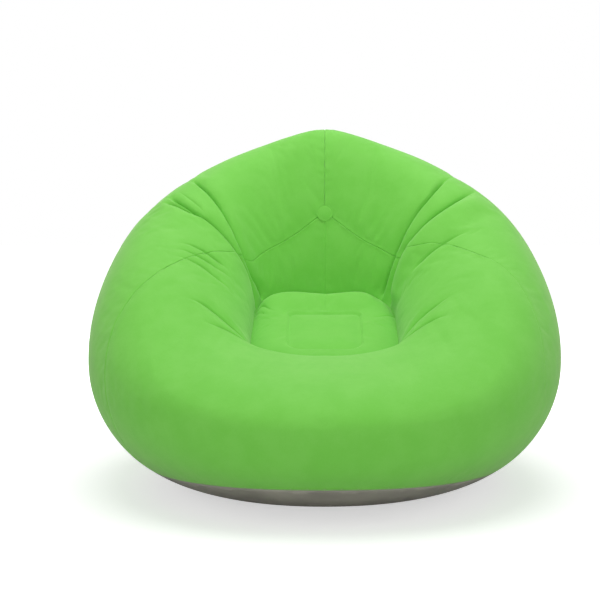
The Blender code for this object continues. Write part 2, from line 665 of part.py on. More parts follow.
def build_valve(valve, moulded, soft):
    place = valve.matrix()
    bore = NECK_RADIUS - NECK_WALL
    under = -SKIN_FILM - REST_GAP
    neck_foot = -INSERT_IN - NECK_BEYOND
    seat = turned("valve_seat", [
        (NECK_RADIUS, NECK_OUT), (bore, NECK_OUT), (bore, neck_foot), (NECK_RADIUS, neck_foot),
        (NECK_RADIUS, under - FLANGE_THICK), (FLANGE_RADIUS, under - FLANGE_THICK), (FLANGE_RADIUS, under),
        (NECK_RADIUS, under)], moulded)
    tube = bore - RUNNING_GAP
    gasket_foot = NECK_OUT + REST_GAP
    rim_foot = gasket_foot + GASKET_THICK + REST_GAP
    rim_top = rim_foot + RIM_THICK
    gasket = turned("valve_gasket", [
        (NECK_RADIUS, gasket_foot), (NECK_RADIUS, gasket_foot + GASKET_THICK),
        (tube + RUNNING_GAP, gasket_foot + GASKET_THICK), (tube + RUNNING_GAP, gasket_foot)], soft)
    throat = tube - INSERT_WALL
    pin_hole = PIN_RADIUS + PIN_CLEARANCE
    floor_top = -INSERT_IN + INSERT_FLOOR
    insert = turned("valve_insert", [
        (NECK_RADIUS, rim_foot), (NECK_RADIUS, rim_top), (throat, rim_top), (throat, floor_top),
        (pin_hole, floor_top), (pin_hole, -INSERT_IN), (tube, -INSERT_IN), (tube, rim_foot)], moulded)
    holes_reach = (PIN_HEAD_RADIUS + throat) / 2
    half = INSERT_FLOOR / 2 + CUT_OVERRUN
    air_holes = []
    for i in range(AIR_HOLES):
        turn = 2 * math.pi * i / AIR_HOLES
        cutter = turned("air_hole_%d" % i, [
            (0, -half), (AIR_HOLE_RADIUS, -half), (AIR_HOLE_RADIUS, half), (0, half)], moulded, 10)
        x, y = holes_reach * math.cos(turn), holes_reach * math.sin(turn)
        cutter.data.transform(Matrix.Translation((x, y, floor_top - INSERT_FLOOR / 2)))
        combine(insert, cutter, "DIFFERENCE")
        air_holes.append(cutter)

    flap_top = -INSERT_IN - REST_GAP
    flap_edge = holes_reach + AIR_HOLE_RADIUS + FLAP_LAP
    flap = turned("valve_flap", [
        (pin_hole, flap_top - FLAP_THICK), (flap_edge, flap_top - FLAP_THICK), (flap_edge, flap_top),
        (pin_hole, flap_top)], soft)
    head_top = flap_top - FLAP_THICK - FLAP_TRAVEL - REST_GAP
    pin_top = floor_top + REST_GAP
    pin = turned("flap_pin", [
        (0, head_top - PIN_HEAD_THICK), (PIN_HEAD_RADIUS, head_top - PIN_HEAD_THICK),
        (PIN_HEAD_RADIUS, head_top), (PIN_RADIUS, head_top), (PIN_RADIUS, pin_top),
        (PIN_HEAD_RADIUS, pin_top), (PIN_HEAD_RADIUS, pin_top + PIN_HEAD_THICK),
        (0, pin_top + PIN_HEAD_THICK)], moulded, 12)

    # The tether's ring turns on the insert's rim, and its lug carries the cap's hinge above the rim.
    hinge = Vector((0, NECK_RADIUS + REST_GAP, rim_top + REST_GAP))
    ring_in = NECK_RADIUS + RUNNING_GAP
    ring_out = ring_in + TETHER_WALL
    tether = turned("cap_tether", [
        (ring_in, rim_foot), (ring_out, rim_foot), (ring_out, rim_foot + TETHER_THICK),
        (ring_in, rim_foot + TETHER_THICK)], soft)
    lug = block("lug", (-TAB_WIDTH / 2, ring_in + REST_GAP, rim_foot + REST_GAP),
                (TAB_WIDTH / 2, ring_out - REST_GAP, rim_top - REST_GAP), soft)
    combine(tether, lug, "UNION")

    plate_foot = rim_top + REST_GAP
    plug = throat - RUNNING_GAP
    plate = plug + CAP_LIP
    cap = turned("valve_cap", [
        (0, plate_foot), (plug - PLUG_WALL, plate_foot), (plug - PLUG_WALL, plate_foot - PLUG_DEPTH),
        (plug - PLUG_DRAFT, plate_foot - PLUG_DEPTH), (plug, plate_foot), (plate, plate_foot),
        (plate, plate_foot + CAP_THICK), (0, plate_foot + CAP_THICK)], soft)
    tab = block("tab", (-TAB_WIDTH / 2, -plate - TAB_OUT, plate_foot + REST_GAP),
                (TAB_WIDTH / 2, NECK_RADIUS, plate_foot + CAP_THICK - REST_GAP), soft)
    for thing in (cap, tab):
        thing.data.transform(Matrix.Translation(-hinge))
    combine(cap, tab, "UNION")

    for thing in (seat, gasket, insert, flap, pin, tether, lug, *air_holes):
        thing.matrix_world = place
    for thing in (cap, tab):
        thing.matrix_world = place @ Matrix.Translation(hinge)


def build_chair():
    clear_scene()
    flocked = material("flocked_film", SKIN_COLOUR, 0.95)
    plain = material("plain_film", BASE_COLOUR, 0.5)
    tie_film = material("tie_film", TIE_COLOUR, 0.5)
    moulded = material("moulded_vinyl", VALVE_COLOUR, 0.45)
    soft = material("soft_vinyl", FLAP_COLOUR, 0.55)
    valve = ValvePlace()
    build_skin(valve, flocked, plain)
    build_ties(tie_film)
    build_valve(valve, moulded, soft)


build_chair()
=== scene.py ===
# Inflatable sofa chair: flocked gores over an air bag, grey base film, screw-in air valve
import json
import math
import bpy
import numpy as np
from mathutils import Matrix, Vector
from mathutils.geometry import delaunay_2d_cdt

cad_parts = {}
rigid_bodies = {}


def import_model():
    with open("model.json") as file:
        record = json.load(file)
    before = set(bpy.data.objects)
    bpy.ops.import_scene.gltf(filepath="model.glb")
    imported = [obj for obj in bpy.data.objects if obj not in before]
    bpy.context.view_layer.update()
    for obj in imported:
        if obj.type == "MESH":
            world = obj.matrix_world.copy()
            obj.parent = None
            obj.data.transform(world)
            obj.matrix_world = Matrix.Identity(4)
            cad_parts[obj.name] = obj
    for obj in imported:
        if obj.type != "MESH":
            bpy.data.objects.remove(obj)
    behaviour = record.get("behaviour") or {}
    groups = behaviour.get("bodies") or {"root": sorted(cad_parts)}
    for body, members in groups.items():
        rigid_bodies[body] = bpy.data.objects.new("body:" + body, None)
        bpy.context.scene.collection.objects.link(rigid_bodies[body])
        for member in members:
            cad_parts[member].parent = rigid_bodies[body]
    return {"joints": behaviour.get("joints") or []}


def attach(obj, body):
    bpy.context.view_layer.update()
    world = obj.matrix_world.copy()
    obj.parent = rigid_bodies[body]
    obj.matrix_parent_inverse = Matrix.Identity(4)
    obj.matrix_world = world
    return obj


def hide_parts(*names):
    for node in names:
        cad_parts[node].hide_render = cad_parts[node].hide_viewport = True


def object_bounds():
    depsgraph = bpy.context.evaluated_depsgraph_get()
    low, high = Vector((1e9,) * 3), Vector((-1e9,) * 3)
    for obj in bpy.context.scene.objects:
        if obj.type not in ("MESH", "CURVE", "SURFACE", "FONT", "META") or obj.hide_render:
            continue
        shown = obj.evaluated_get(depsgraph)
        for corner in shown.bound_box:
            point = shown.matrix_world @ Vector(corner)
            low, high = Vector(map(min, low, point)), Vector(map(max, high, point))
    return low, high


for thing in list(bpy.data.objects):
    bpy.data.objects.remove(thing, do_unlink=True)
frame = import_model()
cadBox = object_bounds()
chairLow, chairHigh = cadBox
chairWidth, chairLength, chairHeight = chairHigh - chairLow
jointPlaces = {joint["name"]: joint for joint in frame["joints"]}

# Skin of the blown-up chair

skinLook = {
    "floorRadius": 0.21,         # flat disc under the chair
    "seatWidth": 0.34, "seatLength": 0.37, "seatForward": 0.05,
    "seatHeight": 0.352, "seatSlope": 0.36,
    # the pad is a blown ring round a sunk panel
    "padCrownFront": 0.010, "padCrownBack": 0.0165, "padWeld": 0.0145, "ringFullness": 0.6,
    "ridgeHeight": 0.02, "ridgeSpread": 0.038, "ridgeBack": 0.118,
    "shoulderStart": 0.085, "shoulderSpread": 0.08,      # where the ridge runs out on the right
    "dartDip": 0.0055, "dartSpread": 0.05,
    "recessWidth": 0.168, "recessLength": 0.182, "recessForward": 0.034,
    "recessFrontCorner": 0.034, "recessBackCorner": 0.016, "recessCrown": 0.009, "recessSpread": 0.06,
    "beadHeight": 0.003, "beadOut": 0.004, "beadSpread": 0.0045,       # the weld round the recess
    "weldHeightFront": 0.085, "weldHeightBack": 0.058,
    "planSquareness": 2.1, "seatSquareness": 4.0, "flankFullness": 0.9, "wallCurve": 1.3,
    "innerStep": 0.024, "outerStep": 0.042, "divisions": 2,       # mesh before it is divided, and how often
    "film": 0.0003,
}

# levels run from the pad's middle 0 over the crease round it 1, the rim 2, the widest ring 3 and
# the base weld 4 to the edge of the floor disc 5; stations go from the back's middle to the front's
crease, rim, widest, baseWeld, floorEdge = 1, 2, 3, 4, 5
stations = np.radians((0, 14, 28, 42, 57, 72, 90, 115, 140, 160, 180))
stationLook = {                  # shares of the chair's half width or of its height, or plain shares
    "rimReach": (0.527, 0.545, 0.591, 0.633, 0.673, 0.704, 0.718, 0.700, 0.609, 0.476, 0.422),
    "rimHeight": (1.0, 0.984, 0.951, 0.912, 0.856, 0.791, 0.700, 0.571, 0.431, 0.387, 0.379),
    "widestHeight": (0.388, 0.388, 0.388, 0.388, 0.382, 0.376, 0.365, 0.329, 0.282, 0.253, 0.247),
    "wallLean": (0.75, 0.70, 0.60, 0.55, 0.50, 0.30, 0.20, 0.20, 0.30, 0.50, 0.60),
}
layoutShares = (0, 0.17, 0.46, 0.90, 1.16, 1.40)       # radius of each level in the flat layout
left, right = -1, 1
quarter = math.pi / 2


def smoothStep(share):
    share = np.clip(share, 0, 1)
    return share * share * (3 - 2 * share)


def unit(vectors):
    return vectors / np.maximum(np.linalg.norm(vectors, axis=-1, keepdims=True), 1e-12)


def crossOf(places, faces):      # each triangle's normal, twice its area long
    corners = places[faces]
    return np.cross(corners[:, 1] - corners[:, 0], corners[:, 2] - corners[:, 0])


def edgePairs(faces):
    return np.sort(np.concatenate([faces[:, [0, 1]], faces[:, [1, 2]], faces[:, [2, 0]]]), axis=1)


def addObject(name, data):
    thing = bpy.data.objects.new(name, data)
    bpy.context.scene.collection.objects.link(thing)
    return thing


def addMesh(name, points, faces, material=None):
    mesh = bpy.data.meshes.new(name)
    mesh.from_pydata(points, [], faces)
    if material:
        mesh.materials.append(material)
    return mesh


def throughStations(name, turn):
    values = np.array(stationLook[name])
    slope = np.zeros(len(values))
    slope[1:-1] = (values[2:] - values[:-2]) / (stations[2:] - stations[:-2])
    first = np.clip(np.searchsorted(stations, turn, side="right") - 1, 0, len(stations) - 2)
    span = stations[first + 1] - stations[first]
    t = (turn - stations[first]) / span
    return ((1 + 2 * t) * (1 - t) ** 2 * values[first] + t * (1 - t) ** 2 * span * slope[first]
            + t * t * (3 - 2 * t) * values[first + 1] + t * t * (t - 1) * span * slope[first + 1])


def ovalReach(turn, halfAcross, halfAlong, squareness):
    across = (np.abs(np.sin(turn)) / halfAcross) ** squareness
    along = (np.abs(np.cos(turn)) / halfAlong) ** squareness
    return (across + along) ** (-1 / squareness)


def seatReach(turn):
    halfAcross, halfAlong = skinLook["seatWidth"] / 2, skinLook["seatLength"] / 2
    return ovalReach(turn, halfAcross, halfAlong, skinLook["seatSquareness"])


def seatPlane(y):
    return skinLook["seatHeight"] + skinLook["seatSlope"] * (y + skinLook["seatForward"])


def recessDistance(x, y):
    middle = -skinLook["seatForward"] - skinLook["recessForward"]
    corner = np.where(y < middle, skinLook["recessFrontCorner"], skinLook["recessBackCorner"])
    dx = np.abs(x) - (skinLook["recessWidth"] / 2 - corner)
    dy = np.abs(y - middle) - (skinLook["recessLength"] / 2 - corner)
    return np.hypot(np.maximum(dx, 0), np.maximum(dy, 0)) + np.minimum(np.maximum(dx, dy), 0) - corner


def padTop(x, y, toEdge):
    inward = recessDistance(x, y)
    across = np.clip(inward / np.maximum(inward + toEdge, 1e-6), 0, 1)
    back = y + skinLook["seatForward"] - skinLook["ridgeBack"]
    shoulder = 1 - smoothStep((x - skinLook["shoulderStart"]) / skinLook["shoulderSpread"])
    ridge = skinLook["ridgeHeight"] * np.exp(-(back / skinLook["ridgeSpread"]) ** 2) * shoulder
    dip = skinLook["dartDip"] * np.exp(-(x / skinLook["dartSpread"]) ** 2)
    dip = dip * (y > -skinLook["seatForward"])
    backward = smoothStep((y + skinLook["seatForward"]) / skinLook["seatLength"] + 0.5)
    crown = skinLook["padCrownFront"] + (skinLook["padCrownBack"] - skinLook["padCrownFront"]) * backward
    crown = crown + ridge - dip
    fullness = (4 * across * (1 - across)) ** skinLook["ringFullness"]
    ring = skinLook["padWeld"] * (1 - across) + crown * fullness
    toMiddle = np.clip(-inward / skinLook["recessSpread"], 0, 1)
    panel = skinLook["padWeld"] + skinLook["recessCrown"] * (1 - (1 - toMiddle) ** 2)
    fromBead = (inward - skinLook["beadOut"]) / skinLook["beadSpread"]
    bead = skinLook["beadHeight"] * np.exp(-fromBead ** 2)
    return seatPlane(y) + np.where(inward > 0, ring, panel) + bead


def plainSkin(turn, side, level):
    seat = seatReach(turn)
    seatEdgeHeight = seatPlane(seat * np.cos(turn) - skinLook["seatForward"])
    rimReach = throughStations("rimReach", turn) * ovalReach(turn, chairWidth / 2, chairLength / 2, 2)
    rimHeight = throughStations("rimHeight", turn) * chairHeight
    widestReach = ovalReach(turn, chairWidth / 2, chairLength / 2, skinLook["planSquareness"])
    widestHeight = throughStations("widestHeight", turn) * chairHeight
    weldRise = skinLook["weldHeightFront"] - skinLook["weldHeightBack"]
    weldHeight = skinLook["weldHeightBack"] + weldRise * smoothStep(2 * turn / math.pi - 1)
    weldAngle = np.arcsin(1 - weldHeight / widestHeight)

    lean = throughStations("wallLean", turn)
    up = np.clip(level - crease, 0, 1)
    outward = (1 - lean) * (1 - np.cos(up * quarter)) + lean * up ** skinLook["wallCurve"]
    wallReach = seat + (rimReach - seat) * outward
    wallHeight = seatEdgeHeight + (rimHeight - seatEdgeHeight) * np.sin(up * quarter)
    over = np.clip(level - rim, 0, 1) * quarter
    shoulderReach = rimReach + (widestReach - rimReach) * np.sin(over)
    shoulderHeight = widestHeight + (rimHeight - widestHeight) * np.cos(over)
    under = np.where(level <= baseWeld, np.clip(level - widest, 0, 1) * weldAngle,
                     weldAngle + np.clip(level - baseWeld, 0, 1) * (quarter - weldAngle))
    flank = np.clip(np.cos(under), 0, 1) ** skinLook["flankFullness"]
    flankReach = skinLook["floorRadius"] + (widestReach - skinLook["floorRadius"]) * flank
    flankHeight = widestHeight * (1 - np.sin(under))

    stages = [level <= crease, level <= rim, level <= widest]
    reach = np.select(stages, [seat * np.clip(level, 0, 1), wallReach, shoulderReach], flankReach)
    middle = -skinLook["seatForward"] * (1 - smoothStep((level - crease) / (widest - crease)))
    x = side * reach * np.sin(turn)
    y = middle + reach * np.cos(turn)
    pad = padTop(x, y, seat * np.clip(1 - level, 0, 1))
    z = np.select(stages, [pad, wallHeight, shoulderHeight], flankHeight)
    return np.stack([x, y, z], -1)


def lay(turn, side, level):      # from a place on the skin to its place in the flat layout
    radius = np.interp(level, range(len(layoutShares)), layoutShares)
    return np.stack([side * radius * np.sin(turn), radius * np.cos(turn)], -1)


def unlay(flat):
    radius = np.hypot(flat[..., 0], flat[..., 1])
    turn = np.arctan2(np.abs(flat[..., 0]), flat[..., 1])
    level = np.interp(radius, layoutShares, range(len(layoutShares)))
    return turn, np.where(flat[..., 0] < 0, -1.0, 1.0), level


def outwardWay(turn, side, level):
    nudge = 0.004
    along = plainSkin(turn + nudge, side, level) - plainSkin(turn - nudge, side, level)
    down = plainSkin(turn, side, level + nudge) - plainSkin(turn, side, level - nudge)
    return unit(np.cross(along, down) * np.reshape(side, np.shape(turn) + (1,)))


def skinSlope(flat, nudge=0.002):        # how a place on the skin moves with its place in the layout
    return np.stack([(plainSkin(*unlay(flat + step)) - plainSkin(*unlay(flat - step))) / (2 * nudge)
                     for step in (np.array((nudge, 0)), np.array((0, nudge)))], -1)


# Folds and creases of the film. Points are turns in degrees and levels; depth and width are metres
# square to the skin and along it, and fade is the share of the length over which each end runs out.

foldLook = {
    "innerFoldLeft": dict(side=left, depth=0.020, width=0.030, swell=0.006, reach=0.05,
                          fade=(0.10, 0.10), points=(
        (45, 1.0), (50, 1.08), (57.8, 1.18), (63, 1.30), (65, 1.44), (64.9, 1.61), (63.8, 1.81), (61, 2.03))),
    "outerFoldLeft": dict(side=left, depth=0.022, width=0.032, swell=0.012, reach=0.10,
                          fade=(0.10, 0.14), points=(
        (57, 1.0), (60.5, 1.09), (64.5, 1.20), (70, 1.33), (74.2, 1.47), (76.3, 1.64), (76.3, 1.82),
        (71.8, 2.09))),
    "innerFoldRight": dict(side=right, depth=0.020, width=0.030, swell=0.006, reach=0.05,
                           fade=(0.10, 0.22), points=(
        (40, 1.0), (44.8, 1.12), (49.6, 1.24), (54.2, 1.36), (58.5, 1.51), (61, 1.70), (58.8, 2.02))),
    "outerFoldRight": dict(side=right, depth=0.022, width=0.032, swell=0.012, reach=0.10,
                           fade=(0.10, 0.28), points=(
        (52, 1.0), (53, 1.10), (57, 1.23), (62, 1.35), (66.5, 1.45), (71, 1.63), (72, 1.82), (68, 2.12))),
}
creaseLook = {
    "topLeft": dict(side=left, depth=0.009, width=0.020, fade=(0.3, 0.3), points=(
        (75, 2.10), (76.8, 1.94), (78, 1.83), (77.5, 1.68))),
    "topLeftSecond": dict(side=left, depth=0.004, width=0.014, fade=(0.4, 0.4), points=(
        (69, 2.02), (72, 1.86), (74.5, 1.68))),
    "armUpperLeft": dict(side=left, depth=0.009, width=0.020, fade=(0.5, 0.3), points=(
        (96.7, 1.86), (94.9, 1.76), (94.0, 1.66), (93.5, 1.55), (91.8, 1.42))),
    "armUpperLeftSecond": dict(side=left, depth=0.007, width=0.018, fade=(0.5, 0.4), points=(
        (100.5, 1.90), (99, 1.78), (98.8, 1.65), (98, 1.52), (95.1, 1.38))),
    "armUpperLeftThird": dict(side=left, depth=0.008, width=0.020, fade=(0.5, 0.4), points=(
        (103.6, 1.90), (103.2, 1.78), (103.6, 1.66), (104.6, 1.54), (104.1, 1.38))),
    "armLowerLeft": dict(side=left, depth=0.011, width=0.026, fade=(0.4, 0.1), points=(
        (123.3, 1.99), (123.6, 1.89), (124.8, 1.79), (127.6, 1.69), (131.2, 1.57), (134.3, 1.43),
        (136.5, 1.28))),
    "armLowerLeftSecond": dict(side=left, depth=0.007, width=0.020, fade=(0.5, 0.3), points=(
        (132.5, 2.03), (133.9, 1.91), (135.6, 1.76), (138.2, 1.60), (140, 1.42))),
    "armUpperRight": dict(side=right, depth=0.009, width=0.024, fade=(0.4, 0.3), points=(
        (90, 1.86), (89.4, 1.74), (88.4, 1.61), (86.4, 1.47), (82.4, 1.30))),
    "armLowerRight": dict(side=right, depth=0.009, width=0.024, fade=(0.5, 0.15), points=(
        (121.3, 1.87), (122.3, 1.77), (124, 1.66), (126, 1.49), (128.5, 1.32), (131.5, 1.12))),
    "armLowerRightSecond": dict(side=right, depth=0.007, width=0.020, fade=(0.5, 0.3), points=(
        (130, 2.02), (130.6, 1.86), (132, 1.72), (134.6, 1.56), (137, 1.38))),
    "seatLeft": dict(side=left, depth=0.006, width=0.018, fade=(0.05, 0.7), points=(
        (63, 1.0), (58.8, 0.94), (60.5, 0.86), (63.2, 0.77), (65.5, 0.64))),
    "seatLeftSecond": dict(side=left, depth=0.004, width=0.013, fade=(0.1, 0.6), points=(
        (67, 1.0), (68.1, 0.88), (74.4, 0.77))),
    "seatRight": dict(side=right, depth=0.003, width=0.014, fade=(0.1, 0.6), points=(
        (68, 1.0), (71.2, 0.88), (77.2, 0.70), (76, 0.58))),
}
creaseShape = {
    "coreShare": 0.3, "coreDepthShare": 0.5,     # width and depth of a crease's sharp core
    "beside": 0.006, "foldBeside": 0.009,        # lines of mesh points on each side
    "held": 0.004, "foldHeld": 0.006,            # how far they hold the film under air pressure
    "padEdge": 0.92, "padSpread": 0.12,          # the level at which folds stop at the pad
    "merging": 0.003, "swellPeak": 27 / 4,       # share * (1 - share) ** 2 is 4 / 27 at its highest
}
seamLook = {
    "depth": 0.0014, "width": 0.0034, "held": 0.002,
    "pucker": 0.0007, "backPucker": 0.0017, "puckerReach": 0.04, "puckerLength": 0.034,
    "waver": ((1.7, 31), (1.1, 73)), "sideShift": 0.9,         # what makes the puckers uneven
    "faintDepth": 0.2, "faintFrom": 1.85, "faintTo": 2.05,     # the right seam closes up below the rim
}
armSeamPoints = {
    left: ((0, 1.33), (20, 1.26), (34, 1.23), (52, 1.22), (59, 1.255), (67, 1.325), (77, 1.41), (82, 1.46),
           (86.3, 1.515), (91, 1.58), (95.2, 1.642), (98.6, 1.7), (101.5, 1.755), (104.2, 1.81),
           (106.9, 1.87), (109.2, 1.935), (111.2, 2.0), (113, 2.08), (114.4, 2.15), (116.6, 2.3),
           (118.5, 2.43), (120, 2.57), (121.6, 2.69), (123, 2.82), (124, 2.95), (124.6, 3.15),
           (124.8, 3.5), (124, 4.0)),
    right: ((0, 1.33), (20, 1.26), (34, 1.23), (52, 1.232), (60, 1.295), (69.5, 1.37), (75.5, 1.425),
            (79.7, 1.48), (83.4, 1.54), (87, 1.6), (91.2, 1.665), (95.5, 1.735), (99.7, 1.815), (103.3, 1.9),
            (106.2, 1.99), (108.4, 2.09), (110.4, 2.18), (112.3, 2.27), (116, 2.45), (119.5, 2.63),
            (121.5, 2.74), (123, 2.86), (124, 3.0), (124.6, 3.2), (124.8, 3.5), (124, 4.0)),
}
dartPoints = ((0, 0.31), (0, 1.0), (0, 1.33))
backSeamPoints = ((0, 1.33), (0, 2), (0, 3), (0, 4))
seams = ((armSeamPoints[left], left), (armSeamPoints[right], right), (dartPoints, right),
         (backSeamPoints, right))
filmLines = [(look["points"], look["side"], creaseShape["foldBeside"], creaseShape["foldHeld"])
             for look in foldLook.values()]
filmLines += [(look["points"], look["side"], creaseShape["beside"], creaseShape["held"])
              for look in creaseLook.values()]
filmLines += [(points, side, seamLook["width"], seamLook["held"]) for points, side in seams]


# points that a smooth and a straight line are worked out with, the step between those kept, and the
# nudge that finds the skin's slope beside it
lineLook = {"smooth": 40, "straight": 80, "step": 0.01, "nudge": 0.001}


def linePoints(points, side, step=lineLook["step"]):
    turns, levels = np.array(points, dtype=float).T
    if len(turns) > 2:           # a smooth line through the chosen points
        fine = np.linspace(0, len(turns) - 1, lineLook["smooth"] * len(turns))
        turn, level = (smoothThrough(values, fine) for values in (np.radians(turns), levels))
    else:
        fine = np.linspace(0, 1, lineLook["straight"])
        turn, level = np.radians(np.interp(fine, (0, 1), turns)), np.interp(fine, (0, 1), levels)
    sides = np.full_like(turn, side)
    places = plainSkin(turn, sides, level)
    run = np.concatenate([[0], np.cumsum(np.linalg.norm(np.diff(places, axis=0), axis=1))])
    even = np.linspace(0, run[-1], max(2, round(run[-1] / step)) + 1)
    return lay(np.interp(even, run, turn), side, np.interp(even, run, level))


def smoothThrough(values, fine):
    values = np.array(values)
    padded = np.concatenate([[2 * values[0] - values[1]], values, [2 * values[-1] - values[-2]]])
    first = np.clip(fine.astype(int), 0, len(values) - 2)
    t = fine - first
    before, start, end, after = (padded[first + i] for i in range(4))
    return 0.5 * (2 * start + (end - before) * t + (2 * before - 5 * start + 4 * end - after) * t * t
                  + (3 * start - before - 3 * end + after) * t ** 3)


def skinLine(points, side):
    return plainSkin(*unlay(linePoints(points, side)))


def nearLine(places, line, reach):
    # for the places within reach: how far the line is, how far along it that is, its length and the side
    distance = np.full(len(places), np.inf)
    along = np.zeros(len(places))
    sideways = np.zeros(len(places))
    near = np.flatnonzero(np.all((places > line.min(0) - reach) & (places < line.max(0) + reach), axis=1))
    starts, steps = line[:-1], np.diff(line, axis=0)
    lengths = np.linalg.norm(steps, axis=1)
    runs = np.concatenate([[0], np.cumsum(lengths)])
    for i in range(len(starts)):
        offset = places[near] - starts[i]
        t = np.clip(offset @ steps[i] / lengths[i] ** 2, 0, 1)
        gap = np.linalg.norm(offset - t[:, None] * steps[i], axis=1)
        closer = gap < distance[near]
        chosen = near[closer]
        distance[chosen] = gap[closer]
        along[chosen] = runs[i] + t[closer] * lengths[i]
        sideways[chosen] = np.cross(steps[i], offset[closer])[:, 2]
    return distance, along, runs[-1], np.sign(sideways)


def runOut(along, length, fade):
    start = smoothStep(along / (length * fade[0]))
    return start * smoothStep((length - along) / (length * fade[1]))


def besideLines(points, side, step, beside):      # a line and one on each side of it
    middle = linePoints(points, side, step)
    inner = middle[1:-1]
    places = plainSkin(*unlay(middle))
    turn, _, level = unlay(inner)
    across = np.cross(unit(places[2:] - places[:-2]), outwardWay(turn, np.full_like(turn, side), level))
    shift = np.einsum("nij,nj->ni", np.linalg.pinv(skinSlope(inner, lineLook["nudge"])), across) * beside
    return [(middle, False), (inner + shift, False), (inner - shift, False)]


def ringPoints(level, count, stagger=0):
    turns = (np.arange(count) + stagger) * 2 * math.pi / count
    side = np.where(turns > math.pi, -1.0, 1.0)
    return lay(np.where(turns > math.pi, 2 * math.pi - turns, turns), side, np.full_like(turns, level))


def recessRing(inset):           # a line of points round the recess, that much inside its weld
    points = []
    for start, sx, sy in ((0, 1, 1), (90, -1, 1), (180, -1, -1), (270, 1, -1)):
        corner = skinLook["recessBackCorner" if sy > 0 else "recessFrontCorner"] - inset / 2
        halfX = skinLook["recessWidth"] / 2 - inset - corner
        halfY = skinLook["recessLength"] / 2 - inset - corner
        for turn in np.radians(np.arange(start, start + 91, layoutLook["cornerTurn"])):
            points.append((sx * halfX + corner * math.cos(turn), sy * halfY + corner * math.sin(turn)))
    points = np.array(points)
    full = []
    for first, second in zip(points, np.roll(points, -1, axis=0)):
        pieces = max(1, round(np.linalg.norm(second - first) / layoutLook["recessStep"]))
        full += [first + (second - first) * i / pieces for i in range(pieces)]
    x, y = np.array(full).T
    y = y - skinLook["recessForward"]
    turn = np.arctan2(np.abs(x), y)
    return lay(turn, np.where(x < 0, -1.0, 1.0), np.hypot(x, y) / seatReach(turn))


# Valve place, from the joint that screws its insert in

valveAxis = np.array(jointPlaces["insert_turn"]["axis"])
valveMiddle = np.array(jointPlaces["insert_turn"]["pos_m"])
valveUp = np.array((0, 0, 1)) - valveAxis * valveAxis[2]
valveUp = valveUp / np.linalg.norm(valveUp)
valveAcross = np.cross(valveUp, valveAxis)
valveLook = {                    # its place, the radii of the mesh round it and the points in each
    "turn": 12, "level": 3.2, "hole": 0.0187, "weld": 0.026, "flat": 0.036, "bend": 0.05, "blend": 0.07,
    "sides": 48,
}


def valveCircle(radius):
    flat = lay(math.radians(valveLook["turn"]), left, valveLook["level"])
    turns = np.arange(valveLook["sides"]) * 2 * math.pi / valveLook["sides"]
    offsets = radius * (np.cos(turns)[:, None] * valveAcross + np.sin(turns)[:, None] * valveUp)
    return flat + offsets @ np.linalg.pinv(skinSlope(flat)).T


def drawFlat(places):            # the skin is drawn flat round the valve
    offset = places - valveMiddle
    height = offset @ valveAxis
    beside = np.linalg.norm(offset - height[:, None] * valveAxis, axis=1)
    near = 1 - smoothStep((beside - valveLook["flat"]) / (valveLook["blend"] - valveLook["flat"]))
    near[np.abs(height) > valveLook["blend"]] = 0
    return places - (height * near)[:, None] * valveAxis


def insideOutline(outline, points):
    result = np.zeros(len(points), dtype=bool)
    for (ax, ay), (bx, by) in zip(outline, np.roll(outline, -1, axis=0)):
        crosses = (points[:, 1] < ay) != (points[:, 1] < by)
        with np.errstate(divide="ignore", invalid="ignore"):
            at = ax + (points[:, 1] - ay) * (bx - ax) / (by - ay)
        result ^= crosses & (points[:, 0] < at)
    return result


layoutLook = {
    "rings": ((crease, 64), (baseWeld, 96), (floorEdge, 60)),          # level and number of points
    "recessInsets": (-0.007, 0, 0.007), "recessStep": 0.8 * skinLook["innerStep"], "cornerTurn": 18,
    "guardShares": (0, 0.25, 0.5, 0.75),         # places on a line's pieces that loose points keep clear of
    "clearance": 0.42, "valveClearance": 0.4,    # how clear, in steps
    "tolerance": 1e-6,
    # loose points: lower and higher level, rings, points in each, step
    "bands": ((0, 1, 8, 56, "innerStep"), (1, 2, 15, 88, "innerStep"), (2, 3, 11, 84, "outerStep"),
              (3, 4, 8, 80, "outerStep"), (4, 5, 6, 60, "outerStep")),
}


def layoutMesh():
    lines = []
    for points, side, beside, _ in filmLines:
        lines += besideLines(points, side, skinLook["innerStep"], beside)
    rings = [ringPoints(level, count) for level, count in layoutLook["rings"]]
    rings += [recessRing(inset) for inset in layoutLook["recessInsets"]]
    rings += [valveCircle(valveLook[name]) for name in ("hole", "weld", "flat", "bend", "blend")]
    lines += [(ring, True) for ring in rings]

    points, edges, guards = [], [], []
    for line, closed in lines:
        start, count = len(points), len(line)
        points += [Vector(point) for point in line]
        edges += [(start + i, start + (i + 1) % count) for i in range(count if closed else count - 1)]
        ends = np.roll(line, -1, axis=0)
        for share in layoutLook["guardShares"]:
            between = line + (ends - line) * share
            guards.append(between if closed else between[:-1])
    guards = plainSkin(*unlay(np.concatenate(guards)))
    for low, high, rings, count, step in layoutLook["bands"]:
        step = skinLook[step]
        valveReach = valveLook["blend"] + layoutLook["valveClearance"] * step
        for ring in range(rings):
            level = low + (high - low) * ring / rings
            number = count * level if low == 0 else count
            loose = ringPoints(level, max(1, 4 * round(number / 4)), stagger=0 if low == 0 else ring % 2 / 2)
            places = plainSkin(*unlay(loose))
            for flat, place in zip(loose, places):
                if np.linalg.norm(place - valveMiddle) < valveReach:
                    continue
                if np.linalg.norm(guards - place, axis=1).min() > layoutLook["clearance"] * step:
                    points.append(Vector(flat))
    flats, _, faces, *_ = delaunay_2d_cdt(points, edges, [], 0, layoutLook["tolerance"])
    flats, faces = np.array(flats), np.array(faces)
    upsideDown = crossOf(flats, faces) < 0
    faces[upsideDown] = faces[upsideDown][:, ::-1]
    return flats, faces


